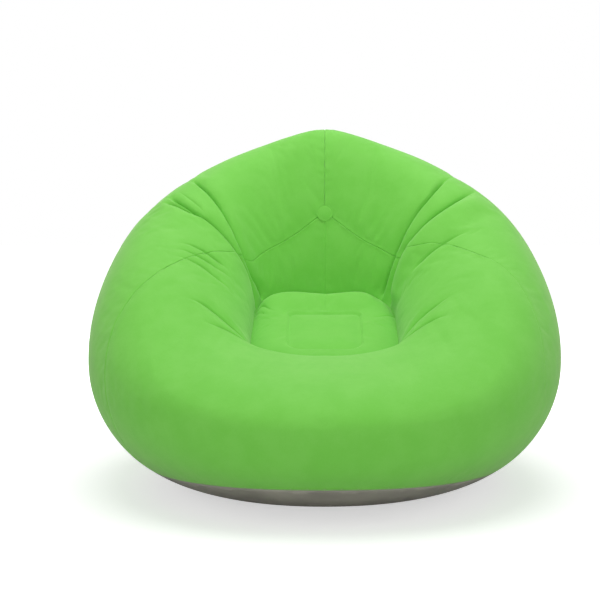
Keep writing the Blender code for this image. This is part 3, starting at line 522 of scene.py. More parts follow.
def divide(flats, faces, marks):
    # every edge gets a middle point and every triangle becomes four
    pairs, which = np.unique(edgePairs(faces), axis=0, return_inverse=True)
    middle = len(flats) + which.reshape(3, -1).T
    flats = np.concatenate([flats, flats[pairs].mean(axis=1)])
    a, b, c = faces.T
    ab, bc, ca = middle.T
    quarters = (a, ab, ca), (b, bc, ab), (c, ca, bc), (ab, bc, ca)
    return flats, np.concatenate([np.stack(corners, -1) for corners in quarters]), np.tile(marks, 4)


def filmShape(flats):
    turn, side, level = unlay(flats)
    places = plainSkin(turn, side, level)
    outward = outwardWay(turn, side, level)
    sunk = np.zeros(len(flats))
    stopAtPad = smoothStep((level - creaseShape["padEdge"]) / creaseShape["padSpread"])
    merging = creaseShape["merging"]
    for look in foldLook.values():
        line = skinLine(look["points"], look["side"])
        distance, along, length, sideways = nearLine(places, line, look["reach"])
        ends = runOut(along, length, look["fade"]) * stopAtPad
        deep = ends * valley(distance, look["depth"], look["width"])
        meeting = merging * merging * (np.minimum(sunk, deep) > 0)         # where two folds run together
        sunk = (sunk + deep + np.sqrt((sunk - deep) ** 2 + meeting)) / 2
        share = np.clip(distance / look["reach"], 0, 1)
        swell = ends * look["swell"] * creaseShape["swellPeak"] * share * (1 - share) ** 2
        sunk -= swell * (sideways * look["side"] < 0)
    for look in creaseLook.values():
        line = skinLine(look["points"], look["side"])
        distance, along, length, _ = nearLine(places, line, look["width"])
        sunk += valley(distance, look["depth"], look["width"]) * runOut(along, length, look["fade"])
    for number, (points, side) in enumerate(seams):
        distance, along, _, sideways = nearLine(places, skinLine(points, side), seamLook["puckerReach"])
        groove = seamLook["depth"] * np.clip(1 - distance / seamLook["width"], 0, 1) ** 2
        if points is armSeamPoints[right]:
            span = seamLook["faintTo"] - seamLook["faintFrom"]
            groove *= 1 - (1 - seamLook["faintDepth"]) * smoothStep((level - seamLook["faintFrom"]) / span)
        waves = along / seamLook["puckerLength"] * 2 * math.pi
        for order, (size, rate) in enumerate(seamLook["waver"], 1):
            waves = waves + size * np.sin(along * rate + order * number)
        waves = waves + sideways * seamLook["sideShift"]
        reach = np.clip(1 - distance / seamLook["puckerReach"], 0, 1) ** 2
        pucker = seamLook["backPucker"] if points is backSeamPoints else seamLook["pucker"]
        sunk += groove + pucker * (1 - np.abs(np.sin(waves / 2))) * reach
    return drawFlat(places - outward * sunk[:, None])


def valley(distance, depth, width):      # a soft hollow with a sharp core
    core = creaseShape["coreDepthShare"]
    soft = (1 - core) * np.clip(1 - distance / width, 0, 1) ** 2
    return depth * (soft + core * np.clip(1 - distance / (width * creaseShape["coreShare"]), 0, 1) ** 2)


# Air pressure in the film: a cloth simulation gives the ripples between the welds, and only they are
# kept, because the whole form is already drawn blown up

airLook = {
    "frames": 7, "quality": 3, "pressure": 3.0, "slack": 0.003,
    "stiffness": 25.0, "shearPart": 3, "bending": 0.02, "mass": 0.25, "damping": 5.0,
    "rippleRounds": 200, "cap": 0.005,           # what is kept: how fine the ripples are and how high
    "heldStep": 0.004, "recessHeld": 0.003, "levelHeld": 0.02, "leastHeld": 0.01,
}


def heldShare(flats):            # 1 where welds, folds and creases hold the film, 0 where it is free
    turn, side, level = unlay(flats)
    places = plainSkin(turn, side, level)
    share = np.zeros(len(flats))
    for points, lineSide, _, held in filmLines:
        distance = nearLine(places, skinLine(points, lineSide), held + 2 * airLook["heldStep"])[0]
        share = np.maximum(share, 1 - smoothStep((distance - held) / airLook["heldStep"]))
    share[level > baseWeld - 2 * airLook["levelHeld"]] = 1
    share[np.abs(level - crease) < airLook["levelHeld"]] = 1
    share[np.linalg.norm(places - valveMiddle, axis=1) < valveLook["blend"]] = 1
    share[(level < crease) & (recessDistance(places[:, 0], places[:, 1]) < airLook["recessHeld"])] = 1
    return share


def outwardNormals(places, faces):
    normals = np.zeros_like(places)
    for corner in faces.T:
        np.add.at(normals, corner, crossOf(places, faces))
    return unit(normals)


def blurred(values, pairs, rounds):      # the average with the neighbours, taken many times
    first, second = pairs.T
    count = np.maximum(np.bincount(pairs.ravel(), minlength=len(values)), 1)
    for _ in range(rounds):
        around = np.bincount(first, values[second], len(values))
        around = around + np.bincount(second, values[first], len(values))
        values = (values + around / count) / 2
    return values


def blowUp(places, faces, share):
    mesh = addMesh("film", places.tolist(), faces.tolist())
    film = addObject("film", mesh)
    held = film.vertex_groups.new(name="held")
    for index in np.flatnonzero(share > airLook["leastHeld"]):
        held.add([int(index)], float(share[index]), "REPLACE")
    cloth = film.modifiers.new("air", "CLOTH")
    air = cloth.settings
    air.quality = airLook["quality"]
    air.mass = airLook["mass"]
    air.tension_stiffness = air.compression_stiffness = airLook["stiffness"]
    air.shear_stiffness = airLook["stiffness"] / airLook["shearPart"]
    air.bending_stiffness = airLook["bending"]
    air.tension_damping = air.compression_damping = air.shear_damping = airLook["damping"]
    air.use_pressure = True
    air.uniform_pressure_force = airLook["pressure"]
    air.effector_weights.gravity = 0
    air.vertex_group_mass = "held"
    air.shrink_min = -airLook["slack"]
    cloth.collision_settings.use_collision = False
    cloth.point_cache.frame_end = airLook["frames"]
    for frameNumber in range(1, airLook["frames"] + 1):
        bpy.context.scene.frame_set(frameNumber)
    blown = film.evaluated_get(bpy.context.evaluated_depsgraph_get()).data
    moved = np.empty(3 * len(blown.vertices))
    blown.vertices.foreach_get("co", moved)
    moved = moved.reshape(-1, 3) - places
    bpy.context.scene.frame_set(1)
    bpy.data.objects.remove(film, do_unlink=True)
    bpy.data.meshes.remove(mesh)

    normals = outwardNormals(places, faces)
    outward = (moved * normals).sum(axis=1)
    ripple = outward - blurred(outward, np.unique(edgePairs(faces), axis=0), airLook["rippleRounds"])
    ripple = airLook["cap"] * np.tanh(ripple / airLook["cap"]) * (1 - share)
    print("ripples", round(float(np.abs(ripple).max()), 5), "m at most")
    return places + normals * ripple[:, None]


def makePanel(name, places, faces, finish, film):
    used, flat = np.unique(faces, return_inverse=True)
    mesh = addMesh(name, places[used].tolist(), flat.reshape(-1, 3).tolist(), finishes[finish])
    mesh.shade_smooth()
    panel = addObject(name, mesh)
    solid = panel.modifiers.new("film", "SOLIDIFY")
    solid.thickness = film
    solid.offset = -1
    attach(panel, "chair")
    return panel


discShares = (0.88, 0.7, 0.5, 0.3, 0.12)         # rings of the part of the base that lies on the floor


def closeDisc(places, faces, edge):
    ring = edge[np.argsort(np.arctan2(places[edge, 1], places[edge, 0]))]
    count = len(ring)
    rings, discFaces, outer = [places], [], ring
    for share in discShares:
        start = sum(len(part) for part in rings)
        rings.append(places[ring] * share)
        inner = start + np.arange(count)
        after = np.roll(outer, -1), np.roll(inner, -1)
        discFaces += [np.stack([outer, inner, after[0]], -1), np.stack([after[0], inner, after[1]], -1)]
        outer = inner
    middle = sum(len(part) for part in rings)
    rings.append(np.zeros((1, 3)))
    discFaces.append(np.stack([outer, np.full(count, middle), np.roll(outer, -1)], -1))
    return np.concatenate(rings), np.concatenate([faces] + discFaces)


patchLook = {
    "level": 1.33, "radius": 0.021, "film": 0.0005, "weld": 0.0175, "weldWidth": 0.0022, "weldDepth": 0.0004,
    "dome": 0.0012, "curve": 1.5, "rings": 22, "sectors": 72,
}


def makePatch():                 # the round patch over the place where the gores meet
    flat = lay(np.array(0.0), right, np.array(patchLook["level"]))
    slope = skinSlope(flat)
    across, up = slope.T / np.linalg.norm(slope, axis=0)[:, None]
    turns = np.arange(patchLook["sectors"]) * 2 * math.pi / patchLook["sectors"]
    shares = np.arange(1, patchLook["rings"] + 1) / patchLook["rings"]
    reaches = patchLook["radius"] * (1 - (1 - shares) ** patchLook["curve"])
    rows = [flat[None]]
    for reach in reaches:
        offsets = reach * (np.cos(turns)[:, None] * across + np.sin(turns)[:, None] * up)
        rows.append(flat + offsets @ np.linalg.pinv(slope).T)
    flats = np.concatenate(rows)
    turn, side, level = unlay(flats)
    side = np.where(flats[:, 0] < 0, -1.0, 1.0)
    reach = np.concatenate([[0], np.repeat(reaches, len(turns))])
    fromWeld = np.abs(reach - patchLook["weld"]) / patchLook["weldWidth"]
    weld = patchLook["weldDepth"] * np.clip(1 - fromWeld, 0, 1)
    dome = patchLook["dome"] * (1 - np.clip(reach / patchLook["weld"], 0, 1) ** 2) ** patchLook["curve"]
    height = 2 * patchLook["film"] + dome - weld
    places = plainSkin(turn, side, level) + outwardWay(turn, side, level) * height[:, None]
    count = len(turns)
    around = np.arange(count)
    faces = [np.stack([np.zeros(count, int), 1 + around, 1 + (around + 1) % count], -1)]
    for row in range(patchLook["rings"] - 1):
        a, b = 1 + row * count + around, 1 + row * count + (around + 1) % count
        c, d = a + count, b + count
        faces += [np.stack([a, c, d], -1), np.stack([a, d, b], -1)]
    return makePanel("starPatch", places, np.concatenate(faces), "flocked_film", patchLook["film"])


# Materials

class Shade:                     # a socket that takes part in expressions
    def __init__(self, bench, socket):
        self.bench, self.socket = bench, socket

    def maths(self, operation, first, second):
        return self.bench.node("ShaderNodeMath", {"operation": operation}, {0: first, 1: second})

    def __add__(self, other):
        return self.maths("ADD", self, other)

    def __sub__(self, other):
        return self.maths("SUBTRACT", self, other)

    def __rsub__(self, other):
        return self.maths("SUBTRACT", other, self)

    def __mul__(self, other):
        return self.maths("MULTIPLY", self, other)

    __radd__ = __add__
    __rmul__ = __mul__

    def clamped(self, low, high, newLow=0, newHigh=1):
        return self.bench.node("ShaderNodeMapRange", {"interpolation_type": "SMOOTHSTEP"}, {
            "Value": self, "From Min": low, "From Max": high, "To Min": newLow, "To Max": newHigh})


class Bench:                     # the nodes of one material or of the world
    def __init__(self, owner):
        owner.use_nodes = True
        self.owner, self.tree = owner, owner.node_tree
        self.shader = self.tree.nodes.get("Principled BSDF")

    def node(self, kind, settings, inputs, output=0):
        made = self.tree.nodes.new(kind)
        for key, value in settings.items():
            setattr(made, key, value)
        for key, value in inputs.items():
            self.feed(made.inputs[key], value)
        return Shade(self, made.outputs[output])

    def feed(self, socket, value):
        if isinstance(value, Shade):
            self.tree.links.new(value.socket, socket)
        else:
            socket.default_value = value

    def mix(self, factor, first, second):
        return self.node("ShaderNodeMix", {"data_type": "RGBA"}, {0: factor, 6: first, 7: second}, 2)

    def noise(self, where, scale, detail, roughness):
        return self.node("ShaderNodeTexNoise", {}, {
            "Vector": where, "Scale": scale, "Detail": detail, "Roughness": roughness})

    def objectPlace(self):
        return self.node("ShaderNodeTexCoord", {}, {}, "Object")

    def bump(self, height, strength, distance, normal=None):
        inputs = {"Height": height, "Strength": strength, "Distance": distance}
        if normal is not None:
            inputs["Normal"] = normal
        return self.node("ShaderNodeBump", {}, inputs)

    def set(self, **values):
        for key, value in values.items():
            self.feed(self.shader.inputs[key.replace("_", " ")], value)


flockLook = {
    "colour": (0.170, 0.571, 0.068, 1), "pale": (0.194, 0.599, 0.085, 1), "deep": (0.150, 0.544, 0.055, 1),
    "sheen": 0.22, "sheenRoughness": 0.5, "sheenTint": (1.0, 1.0, 0.8, 1),
    "roughness": 0.75, "roughnessSwing": 0.06, "gloss": 0.25,
    # noise: scale, detail and roughness; bumps: strength and depth in metres
    "nap": (16, 4, 0.62), "fine": (420, 2, 0.5), "pile": (2600, 1, 0.5), "waves": (24, 3, 0.5),
    "napShare": 0.7, "fineShare": 0.3, "shadeLow": 0.36, "shadeHigh": 0.64, "shadeShare": 0.45,
    "pileBump": (0.45, 0.00012), "waveBump": (0.25, 0.003),
}
filmLook = {
    "cloud": (9, 4, 0.6), "grain": (1400, 2, 0.5), "cloudLow": 0.3, "cloudHigh": 0.7,
    "dark": 0.8, "light": 1.15, "roughnessSwing": 0.12, "gloss": 0.4,
    "grainBump": (0.3, 0.00008), "cloudBump": (0.3, 0.002),
}
plainFilms = {                   # colour and roughness
    "plain_film": ((0.312, 0.293, 0.252), 0.42),
    "tie_film": ((0.42, 0.44, 0.40), 0.5),
    "moulded_vinyl": ((0.23, 0.23, 0.22), 0.4),
    "soft_vinyl": ((0.62, 0.60, 0.55), 0.5),
}


def flockedFilm():
    bench = Bench(bpy.data.materials.new("flocked_film"))
    place = bench.objectPlace()
    nap = bench.noise(place, *flockLook["nap"])          # brushed one way and the other
    fine = bench.noise(place, *flockLook["fine"])
    shade = nap * flockLook["napShare"] + fine * flockLook["fineShare"]
    shade = shade.clamped(flockLook["shadeLow"], flockLook["shadeHigh"])
    colour = bench.mix(shade, flockLook["deep"], flockLook["pale"])
    colour = bench.mix(flockLook["shadeShare"], flockLook["colour"], colour)
    bench.set(Base_Color=colour,
              Roughness=flockLook["roughness"] + flockLook["roughnessSwing"] * (fine - 0.5),
              Sheen_Weight=flockLook["sheen"], Sheen_Roughness=flockLook["sheenRoughness"],
              Sheen_Tint=flockLook["sheenTint"], Specular_IOR_Level=flockLook["gloss"])
    waves = bench.bump(bench.noise(place, *flockLook["waves"]), *flockLook["waveBump"])
    pile = bench.noise(place, *flockLook["pile"])
    bench.set(Normal=bench.bump(pile, *flockLook["pileBump"], waves))
    return bench.owner


def plainFilm(name, colour, roughness):
    bench = Bench(bpy.data.materials.new(name))
    place = bench.objectPlace()
    cloud = bench.noise(place, *filmLook["cloud"])
    grain = bench.noise(place, *filmLook["grain"])
    shade = cloud.clamped(filmLook["cloudLow"], filmLook["cloudHigh"])
    dark, light = ((*(filmLook[key] * value for value in colour), 1) for key in ("dark", "light"))
    bench.set(Base_Color=bench.mix(shade, dark, light), Specular_IOR_Level=filmLook["gloss"],
              Roughness=roughness + filmLook["roughnessSwing"] * (cloud - 0.5))
    bench.set(Normal=bench.bump(grain, *filmLook["grainBump"], bench.bump(cloud, *filmLook["cloudBump"])))
    return bench.owner


print("materials")
finishes = {name: plainFilm(name, *look) for name, look in plainFilms.items()}
finishes["flocked_film"] = flockedFilm()

print("skin layout")
flats, faces = layoutMesh()
middles = flats[faces].mean(axis=1)
weldTurn = math.radians(armSeamPoints[left][-1][0])
outside = 2 * lay(np.array((weldTurn, math.pi, weldTurn)), np.array((1, 1, -1)), np.full(3, floorEdge))
frontOutline = np.concatenate([linePoints(armSeamPoints[right], right, skinLook["innerStep"]), outside,
                               linePoints(armSeamPoints[left], left, skinLook["innerStep"])[::-1]])
inFront = insideOutline(frontOutline, middles)
inBase = unlay(middles)[2] > baseWeld
inHole = insideOutline(valveCircle(valveLook["hole"]), middles)
# a mark gives each triangle's panel: its number in filmCuts, or -1 in the valve's hole
marks = np.where(inBase, 3, np.where(inFront, 0, np.where(middles[:, 0] < 0, 1, 2)))
marks[inHole] = -1
for _ in range(skinLook["divisions"]):
    flats, faces, marks = divide(flats, faces, marks)
sides, uses = np.unique(edgePairs(faces), axis=0, return_counts=True)
floorRing = np.unique(sides[uses == 1])          # the layout's outer edge, rounded to a true ring
flats[floorRing] *= layoutShares[floorEdge] / np.linalg.norm(flats[floorRing], axis=1, keepdims=True)
print("skin shape", len(flats), "points", len(faces), "triangles")
places = filmShape(flats)
print("air pressure")
places = blowUp(places, faces[marks >= 0], heldShare(flats))
filmCuts = {                     # each panel's CAD node, its cut's width, length and area, and what holds it
    "frontGore": ("front_gore", (1.085, 1.129), 0.837, ("backLeftGore", "backRightGore", "basePanel")),
    "backLeftGore": ("back_left_gore", (1.182, 1.19), 0.932, ("frontGore", "backRightGore", "basePanel")),
    "backRightGore": ("back_right_gore", (1.181, 1.19), 0.921, ("frontGore", "backLeftGore", "basePanel")),
    "basePanel": ("base_panel", (0.844, 0.916), 0.618, ("frontGore", "backLeftGore", "backRightGore")),
    "starPatch": ("star_patch", (0.042, 0.042), 0.00138, ("frontGore", "backLeftGore", "backRightGore")),
}


def declareFilm(panel):
    node, cut, area, heldBy = filmCuts[panel.name]
    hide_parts(node)


for number, name in enumerate(list(filmCuts)[:4]):
    shape, own, finish = places, faces[marks == number], "flocked_film"
    if name == "basePanel":
        (shape, own), finish = closeDisc(places, own, floorRing), "plain_film"
    declareFilm(makePanel(name, shape, own, finish, skinLook["film"]))
    print("panel", name, len(own))
declareFilm(makePatch())

# Webs that hold the seat down, inside

tieLook = {
    "halfWidth": 0.0669, "frontY": -0.1602, "backY": -0.0458, "cornerGap": 0.0008,
    "foot": 0.0008, "below": 0.0009, "flange": 0.014, "film": 0.0003,
    "ventRadius": 0.02, "ventShares": (1 / 3, 2 / 3), "ventSides": 32,
    "slack": 0.0045, "puckerDepth": 0.0012, "puckers": 9, "puckerFade": 6,
    "step": 0.009, "ventClearance": 0.4, "tolerance": 1e-5,
}


def circle(radius, count, x=0.0, y=0.0):
    return [(x + radius * math.cos(2 * math.pi * i / count), y + radius * math.sin(2 * math.pi * i / count))
            for i in range(count)]


def seatUnderside(places):       # where a tie meets the sunk panel of the seat
    return padTop(places[:, 0], places[:, 1], 0) - tieLook["below"]


def makeTie(name, start, end, inward):   # cut flat with its two flanges, which are folded inwards
    start, end, inward = np.array(start), np.array(end), np.array(inward)
    width, flange, step = np.linalg.norm(end - start), tieLook["flange"], tieLook["step"]
    along = (end - start) / width
    low, high = (float(seatUnderside(place[None])[0]) - tieLook["foot"] for place in (start, end))
    corners = [(flange, -flange), (width - flange, -flange), (width, 0), (width, high),
               (width - flange, high + flange), (flange, low + flange), (0, low), (0, 0)]
    points = [Vector(corner) for corner in corners]
    edges = [(i, (i + 1) % len(corners)) for i in range(len(corners))] + [(7, 2), (6, 3)]
    vents, rings = [(width / 2, min(low, high) * share) for share in tieLook["ventShares"]], []
    for vent in vents:
        first, ring = len(points), circle(tieLook["ventRadius"], tieLook["ventSides"], *vent)
        rings.append(np.array(ring))
        points += [Vector(point) for point in ring]
        edges += [(first + i, first + (i + 1) % len(ring)) for i in range(len(ring))]
    clear = tieLook["ventRadius"] + tieLook["ventClearance"] * step
    columns, rows = round(width / step), round(max(low, high) / step)
    for row in range(rows + 1):
        for column in range(columns + 1):
            x = width * column / columns
            y = (low + (high - low) * column / columns) * row / rows
            if min(math.hypot(x - vent[0], y - vent[1]) for vent in vents) > clear:
                points.append(Vector((x, y)))
    flats, _, faces, *_ = delaunay_2d_cdt(points, edges, [], 1, tieLook["tolerance"])
    flats, faces = np.array(flats), np.array(faces)
    middles = flats[faces].mean(axis=1)
    faces = faces[~np.any([insideOutline(ring, middles) for ring in rings], axis=0)]
    x, y = flats.T
    top = low + (high - low) * x / width
    rise = np.clip(y / top, 0, 1)
    across = np.sin(np.clip(x / width, 0, 1) * math.pi)
    pucker = np.abs(np.sin(x / width * math.pi * tieLook["puckers"]))
    pucker = pucker * (2 * rise - 1) ** tieLook["puckerFade"] * (rise % 1 > 0)
    lean = (tieLook["slack"] * np.sin(rise * math.pi) + tieLook["puckerDepth"] * pucker) * across
    onFlange = np.maximum(-y, 0) + np.maximum(y - top, 0)
    places = start + along * x[:, None] + inward * (lean + onFlange)[:, None]
    places[:, 2] = tieLook["foot"] + rise * (seatUnderside(places) - tieLook["foot"])
    tie = makePanel(name, places, faces, "tie_film", tieLook["film"])
    tie.modifiers["film"].offset = 0
    return tie, (width, max(low, high) + 2 * flange), abs(crossOf(flats, faces)).sum() / 2


print("ties")
halfWidth, frontY, backY = tieLook["halfWidth"], tieLook["frontY"], tieLook["backY"]
gap = tieLook["cornerGap"]
for name, start, end, inward in (
        ("Front", (-halfWidth + gap, frontY, 0), (halfWidth - gap, frontY, 0), (0, 1, 0)),
        ("Right", (halfWidth, frontY + gap, 0), (halfWidth, backY - gap, 0), (-1, 0, 0)),
        ("Back", (halfWidth - gap, backY, 0), (-halfWidth + gap, backY, 0), (0, -1, 0)),
        ("Left", (-halfWidth, backY - gap, 0), (-halfWidth, frontY + gap, 0), (1, 0, 0))):
    tie, flat, area = makeTie("seatTie" + name, start, end, inward)
    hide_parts("seat_tie_" + name.lower())

# Air valve. Heights are out from the skin along the valve's axis, and the cap's strap is on its +Y side.

valveSize = {
    "neck": 0.0182, "bore": 0.0158, "neckTop": 0.0015, "neckFoot": -0.0170, "flange": 0.0300,
    "flangeTop": -0.0006, "flangeThick": 0.0012, "gasketFoot": 0.0018, "gasketThick": 0.0012,
    "tube": 0.0154, "throat": 0.0120, "rimFoot": 0.0033, "rimTop": 0.0058, "insertFoot": -0.0150,
    "floorTop": -0.0134, "holeReach": 0.0075, "holeRadius": 0.0026, "holes": 6, "pinHole": 0.0017,
    "flapTop": -0.0153, "flapThick": 0.0008, "flapEdge": 0.0116, "flapCone": 0.0003,
    "headTop": -0.0194, "headThick": 0.0011, "headRadius": 0.0030, "pinRadius": 0.0014, "pinTop": -0.0131,
    "ringIn": 0.0186, "ringOut": 0.0204, "ringTop": 0.0049, "strapHalf": 0.0033, "strapTop": 0.0056,
    "plateFoot": 0.0061, "plate": 0.0140, "plateTop": 0.0079, "plug": 0.0116, "plugFoot": 0.0015,
    "plugWall": 0.0014, "plugDraft": 0.0006, "tabHalf": 0.0035, "tabEnd": 0.0200, "tabFoot": 0.0064,
    "pitch": 0.0025, "threadDepth": 0.00016, "threadStep": 0.0004, "threadEnd": 0.0010,
    "gripDepth": 0.0005, "grips": 30,
    "tabRidges": 4, "tabRidge": 0.0003, "tabRidgeStep": 0.0011, "tabRidgeWide": 0.0005, "tabMargin": 0.0012,
    "plateLip": 0.0002, "bevel": 0.0016, "dishIn": 0.0030, "dishDepth": 0.0005, "tabDrop": 0.0003,
    "tabRidgeSunk": 0.0002, "tabRows": 13, "strapTaper": 0.8,
    "lip": 0.0004, "overlap": 0.0003, "floorOverlap": 0.0002, "floorLift": 0.00001, "lugInside": 0.0001,
}
easing = {                       # how far corners are rounded, in metres or in shares
    "sharp": 0.0003, "moulded": 0.0004, "soft": 0.0005, "wide": 0.0006, "cornerReach": 0.45,
    "tongue": 0.12, "ridge": 0.2,
}
tiny, valveTolerance, creaseAngle = 1e-6, 1e-7, math.radians(40)
valveSectors, gripSectors, pinSectors, holeSides = 96, 240, 32, 20
valvePlace = Matrix((valveAcross, valveUp, valveAxis)).transposed().to_4x4()
valvePlace.translation = valveMiddle


def rounded(profile, radius, closed=True, steps=4):      # a profile with every corner rounded off
    points = [np.array(point, dtype=float) for point in profile]
    result = []
    for i, point in enumerate(points):
        if not closed and i in (0, len(points) - 1):
            result.append(point)
            continue
        before, after = points[i - 1] - point, points[(i + 1) % len(points)] - point
        reach = min(radius, *(easing["cornerReach"] * np.linalg.norm(way) for way in (before, after)))
        start = point + before / np.linalg.norm(before) * reach
        end = point + after / np.linalg.norm(after) * reach
        for step in range(steps + 1):
            t = step / steps
            result.append((1 - t) ** 2 * start + 2 * t * (1 - t) * point + t * t * end)
    return result


def turned(profile, closed=True, shape=None, sectors=valveSectors):
    # points and faces of a profile of radius and height turned round its axis; shape may move each point
    turns = np.arange(sectors) * 2 * math.pi / sectors
    points, rows = [], []
    for radius, height in profile:
        if radius < tiny:
            rows.append([len(points)] * sectors)
            points.append((0, 0, height))
            continue
        rows.append(list(range(len(points), len(points) + sectors)))
        for turn in turns:
            reach, level = shape(radius, height, turn) if shape else (radius, height)
            points.append((reach * math.cos(turn), reach * math.sin(turn), level))
    faces = []
    for row, after in zip(rows, rows[1:] + (rows[:1] if closed else [])):
        for i in range(sectors):
            j = (i + 1) % sectors
            face = list(dict.fromkeys((row[i], row[j], after[j], after[i])))
            if len(face) > 2:
                faces.append(face)
    return points, faces


def platform(outlines, low, high):       # an upright solid over an outline that may have holes
    points = [Vector(point) for outline in outlines for point in outline]
    edges, first = [], 0
    for outline in outlines:
        edges += [(first + i, first + (i + 1) % len(outline)) for i in range(len(outline))]
        first += len(outline)
    flats, _, faces, *_ = delaunay_2d_cdt(points, edges, [], 1, valveTolerance)
    flats = np.array(flats)
    keep = []
    for face in faces:
        middle = flats[face].mean(axis=0)[None]
        if insideOutline(np.array(outlines[0]), middle)[0] and not any(
                insideOutline(np.array(hole), middle)[0] for hole in outlines[1:]):
            keep.append(face)
    count = len(flats)
    solid = [(x, y, height) for height in (low, high) for x, y in flats]
    sides = {(face[i], face[(i + 1) % 3]) for face in keep for i in range(3)}
    rims = [edge for edge in sides if edge[::-1] not in sides]
    made = [face[::-1] for face in keep] + [[i + count for i in face] for face in keep]
    made += [[a, b, b + count, a + count] for a, b in rims]
    return solid, made


def valvePiece(name, parts, finish, body, node):
    points, faces = [], []
    for partPoints, partFaces in parts:
        faces += [[index + len(points) for index in face] for face in partFaces]
        points += [tuple(point) for point in partPoints]
    mesh = addMesh(name, points, faces, finishes[finish])
    mesh.transform(valvePlace)
    mesh.shade_smooth()
    mesh.set_sharp_from_angle(angle=creaseAngle)
    piece = addObject(name, mesh)
    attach(piece, body)
    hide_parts(node)


def threaded(wall):              # a shape with a screw thread on the wall of this radius
    def shape(radius, height, turn):
        if abs(radius - wall) > tiny:
            return radius, height
        phase = (height / valveSize["pitch"] - turn / (2 * math.pi)) % 1
        return radius + valveSize["threadDepth"] * (1 - 4 * abs(phase - 0.5)), height
    return shape


def threadRows(radius, low, high):
    count = round(abs(high - low) / valveSize["threadStep"])
    return [(radius, low + (high - low) * i / count) for i in range(count + 1)]


print("valve")
v = valveSize
threadTop, flangeFoot = v["neckTop"] - v["threadEnd"], v["flangeTop"] - v["flangeThick"]
seatTop = rounded([(v["bore"], threadTop), (v["bore"], v["neckTop"]), (v["neck"], v["neckTop"]),
                   (v["neck"], v["flangeTop"])], easing["moulded"], closed=False)
seatProfile = threadRows(v["bore"], v["neckFoot"], threadTop)[:-1] + seatTop + rounded(
    [(v["neck"] + v["overlap"], v["flangeTop"]), (v["flange"], v["flangeTop"]), (v["flange"], flangeFoot),
     (v["neck"], flangeFoot), (v["neck"], v["neckFoot"])], easing["moulded"], closed=False)
valvePiece("valveSeat", [turned(seatProfile[::-1], shape=threaded(v["bore"]))], "moulded_vinyl", "chair",
           "valve_seat")

gasketTop = v["gasketFoot"] + v["gasketThick"]
gasketProfile = rounded([(v["bore"], v["gasketFoot"]), (v["neck"], v["gasketFoot"]), (v["neck"], gasketTop),
                         (v["bore"], gasketTop)], easing["soft"])
valvePiece("valveGasket", [turned(gasketProfile)], "soft_vinyl", "gasket", "valve_gasket")


def gripped(radius, height, turn):
    radius, height = threaded(v["tube"])(radius, height, turn)
    if radius > v["neck"] - tiny:
        radius -= v["gripDepth"] * max(0, math.cos(turn * v["grips"])) ** 2
    return radius, height


insertProfile = threadRows(v["tube"], v["insertFoot"], v["rimFoot"] - v["lip"])[:-1] + rounded(
    [(v["tube"], v["rimFoot"] - v["lip"]), (v["tube"], v["rimFoot"]), (v["neck"], v["rimFoot"]),
     (v["neck"], v["rimTop"]), (v["throat"], v["rimTop"]), (v["throat"], v["floorTop"]),
     (v["throat"], v["insertFoot"])], easing["wide"], closed=False)
holes = [circle(v["holeRadius"], holeSides, *middle) for middle in circle(v["holeReach"], v["holes"])]
floorPart = platform([circle(v["throat"] + v["floorOverlap"], valveSectors), circle(v["pinHole"], holeSides)]
                     + holes, v["insertFoot"] + v["floorLift"], v["floorTop"])
valvePiece("valveInsert", [turned(insertProfile, shape=gripped, sectors=gripSectors), floorPart],
           "moulded_vinyl", "insert", "valve_insert")

flapFoot = v["flapTop"] - v["flapThick"]
flapProfile = rounded([(v["pinHole"], flapFoot), (v["flapEdge"], flapFoot + v["flapCone"]),
                       (v["flapEdge"], v["flapTop"]), (v["pinHole"], v["flapTop"])], easing["sharp"])
valvePiece("valveFlap", [turned(flapProfile)], "soft_vinyl", "flap", "valve_flap")

pinLow, pinHigh = v["headTop"] - v["headThick"], v["pinTop"] + v["headThick"]
head, shaft = v["headRadius"], v["pinRadius"]
pinProfile = [(0, pinLow)] + rounded(
    [(head / 2, pinLow), (head, v["headTop"] - v["lip"]), (head, v["headTop"]), (shaft, v["headTop"]),
     (shaft, v["pinTop"]), (head, v["pinTop"]), (head, v["pinTop"] + v["lip"]), (head / 2, pinHigh)],
    easing["sharp"], closed=False) + [(0, pinHigh)]
valvePiece("flapPin", [turned(pinProfile, closed=False, sectors=pinSectors)], "moulded_vinyl", "insert",
           "flap_pin")


def blunt(points, low, high, eased=easing["tongue"]):    # a tongue over an outline, its edges eased
    outline = [np.array(point) for point in points]
    middle = sum(outline) / len(outline)
    rows = [(low, 1 - eased), (low + eased * (high - low), 1), (high - eased * (high - low), 1),
            (high, 1 - eased)]
    solid = [(*(middle + (point - middle) * size), height) for height, size in rows for point in outline]
    count = len(outline)
    made = [list(range(count))[::-1], [3 * count + i for i in range(count)]]
    for row in range(3):
        made += [[row * count + i, row * count + (i + 1) % count, (row + 1) * count + (i + 1) % count,
                  (row + 1) * count + i] for i in range(count)]
    return solid, made


def block(halfNear, near, halfFar, far): # a straight outline between two heights on the valve's +Y side
    return [(-halfNear, near), (halfNear, near), (halfFar, far), (-halfFar, far)]


ringProfile = rounded([(v["ringIn"], v["rimFoot"]), (v["ringOut"], v["rimFoot"]),
                       (v["ringOut"], v["ringTop"]), (v["ringIn"], v["ringTop"])], easing["soft"])
half, taper = v["strapHalf"], v["strapHalf"] * v["strapTaper"]
lugOutline = block(half, v["ringIn"] + v["overlap"], half, v["ringOut"] - v["lugInside"])
valvePiece("capTether", [turned(ringProfile), blunt(lugOutline, v["rimFoot"] + v["overlap"], v["strapTop"])],
           "soft_vinyl", "insert", "cap_tether")

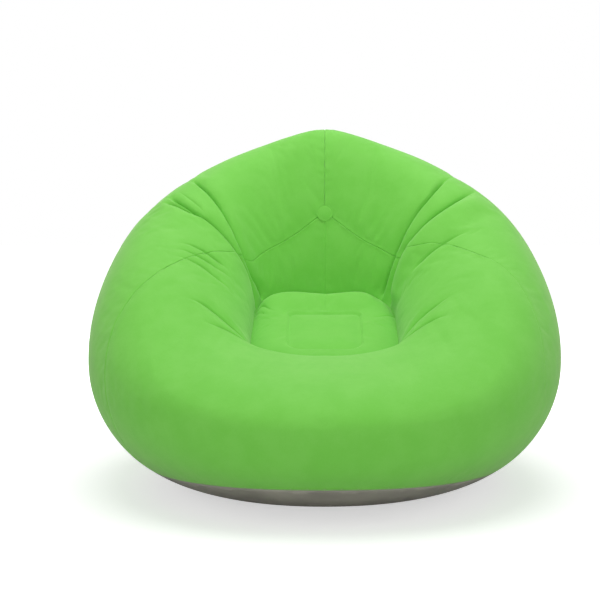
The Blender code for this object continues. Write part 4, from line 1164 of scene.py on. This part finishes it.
capFoot, dishTop = v["plateFoot"], v["plateTop"] - v["dishDepth"]
capProfile = [(0, capFoot)] + rounded(
    [(v["plug"] - v["plugWall"], capFoot), (v["plug"] - v["plugWall"], v["plugFoot"]),
     (v["plug"] - v["plugDraft"], v["plugFoot"]), (v["plug"], capFoot), (v["plate"], capFoot),
     (v["plate"], v["plateTop"] - v["plateLip"]), (v["plate"] - v["bevel"], v["plateTop"]),
     (v["plate"] - v["dishIn"], dishTop)], easing["soft"], closed=False) + [(0, dishTop)]
tabFoot, tabTop, margin = v["tabFoot"], v["plateTop"] - v["tabDrop"], v["tabMargin"]
tabEnd = [(v["tabHalf"] * math.cos(turn), -v["tabEnd"] + v["tabHalf"] + v["tabHalf"] * math.sin(turn))
          for turn in np.radians(np.linspace(180, 360, v["tabRows"]))]
tabRoot = [(v["tabHalf"], -v["plate"] + margin), (-v["tabHalf"], -v["plate"] + margin)]
tabParts = [blunt(tabEnd + tabRoot, tabFoot, tabTop),
            blunt(block(half, v["plate"] - margin, taper, v["neck"]), tabFoot, tabTop)]
for ridge in range(v["tabRidges"]):
    y = -v["tabEnd"] + margin + ridge * v["tabRidgeStep"]
    wide = v["tabHalf"] - margin
    tabParts.append(blunt(block(wide, y, wide, y + v["tabRidgeWide"]), tabTop - v["tabRidgeSunk"],
                          tabTop + v["tabRidge"], easing["ridge"]))
valvePiece("valveCap", [turned(capProfile, closed=False)] + tabParts, "soft_vinyl", "cap", "valve_cap")

# Stage, light and camera

stageLook = {
    "floorSize": 30, "floorDrop": 0.0005, "floorColour": (0.72, 0.72, 0.72, 1),
    "floorGlow": 0.56, "floorNear": 0.6, "floorFar": 2.0, "world": 0.2,
    "distance": 2.5, "elevation": 5, "aim": (0, 0, 0.38), "focalPixels": 1046, "imageSize": 600,
    "sensor": 36, "centrePixel": (324.7, 318),
}
white, black = (1, 1, 1, 1), (0, 0, 0, 1)
lampLook = {
    "topLight": dict(place=(0, -0.2, 3.0), aim=(0, 0, 0.3), size=2.6, power=57),
    "rearLight": dict(place=(-0.8, 3.4, 1.2), aim=(0, 0, 0.4), size=2.4, power=28),
    "frontLight": dict(place=(0, -3.4, 0.6), aim=(0, 0, 0.4), size=1.8, power=33),
    "leftLight": dict(place=(-3.0, -1.0, 1.6), aim=(0, 0, 0.4), size=1.8, power=14),
    "rightLight": dict(place=(3.0, -1.0, 1.6), aim=(0, 0, 0.4), size=1.8, power=17),
    "backLight": dict(place=(0.4, 1.8, 2.6), aim=(0, 0, 0.3), size=2.0, power=6),
}


def makeStage():
    size = stageLook["floorSize"]
    corners = [(x * size, y * size, 0) for x, y in ((-1, -1), (1, -1), (1, 1), (-1, 1))]
    bench = Bench(bpy.data.materials.new("pale_floor"))
    floor = addObject("floor", addMesh("floor", corners, [(0, 1, 2, 3)], bench.owner))
    floor.location.z = -stageLook["floorDrop"]
    seen = bench.node("ShaderNodeLightPath", {}, {}, "Is Camera Ray")
    place = bench.objectPlace()
    away = bench.node("ShaderNodeVectorMath", {"operation": "LENGTH"}, {0: place}, "Value")
    glow = away.clamped(stageLook["floorNear"], stageLook["floorFar"], stageLook["floorGlow"], 1)
    bench.set(Base_Color=stageLook["floorColour"], Roughness=1.0, Specular_IOR_Level=0.0,
              Emission_Color=bench.mix(seen * glow, black, white), Emission_Strength=1.0)

    world = bpy.data.worlds.new("studio")
    bpy.context.scene.world = world
    bench = Bench(world)
    bench.tree.nodes.remove(bench.tree.nodes["Background"])
    clear = 0
    for ray in ("Is Camera Ray", "Is Glossy Ray", "Is Transmission Ray"):        # gloss shows the white too
        seen = bench.node("ShaderNodeLightPath", {}, {}, ray)
        clear = seen.maths("MAXIMUM", seen, clear)
    light, backdrop = (bench.node("ShaderNodeBackground", {}, {"Color": white, "Strength": strength})
                       for strength in (stageLook["world"], 1))
    mixed = bench.node("ShaderNodeMixShader", {}, {0: clear, 1: light, 2: backdrop})
    bench.feed(bench.tree.nodes["World Output"].inputs["Surface"], mixed)


def makeLamp(name, place, aim, size, power):
    lamp = bpy.data.lights.new(name, "AREA")
    lamp.shape = "DISK"
    lamp.size = size
    lamp.energy = power
    thing = addObject(name, lamp)
    thing.location = place
    thing.rotation_euler = (Vector(aim) - Vector(place)).to_track_quat("-Z", "Y").to_euler()


def makeCamera():
    camera = bpy.data.cameras.new("camera")
    thing = addObject("camera", camera)
    tilt = math.radians(stageLook["elevation"])
    distance, size = stageLook["distance"], stageLook["imageSize"]
    aim = Vector(stageLook["aim"])
    thing.location = aim + Vector((0, -math.cos(tilt), math.sin(tilt))) * distance
    thing.rotation_euler = (math.pi / 2 - tilt, 0, 0)
    camera.sensor_width = stageLook["sensor"]
    camera.lens = stageLook["sensor"] * stageLook["focalPixels"] / size
    across, down = stageLook["centrePixel"]
    camera.shift_x = (size / 2 - across) / size
    camera.shift_y = (down - size / 2) / size
    bpy.context.scene.camera = thing


print("stage")
makeStage()
for name, lamp in lampLook.items():
    makeLamp(name, **lamp)
makeCamera()
bpy.context.scene.view_settings.view_transform = "Standard"
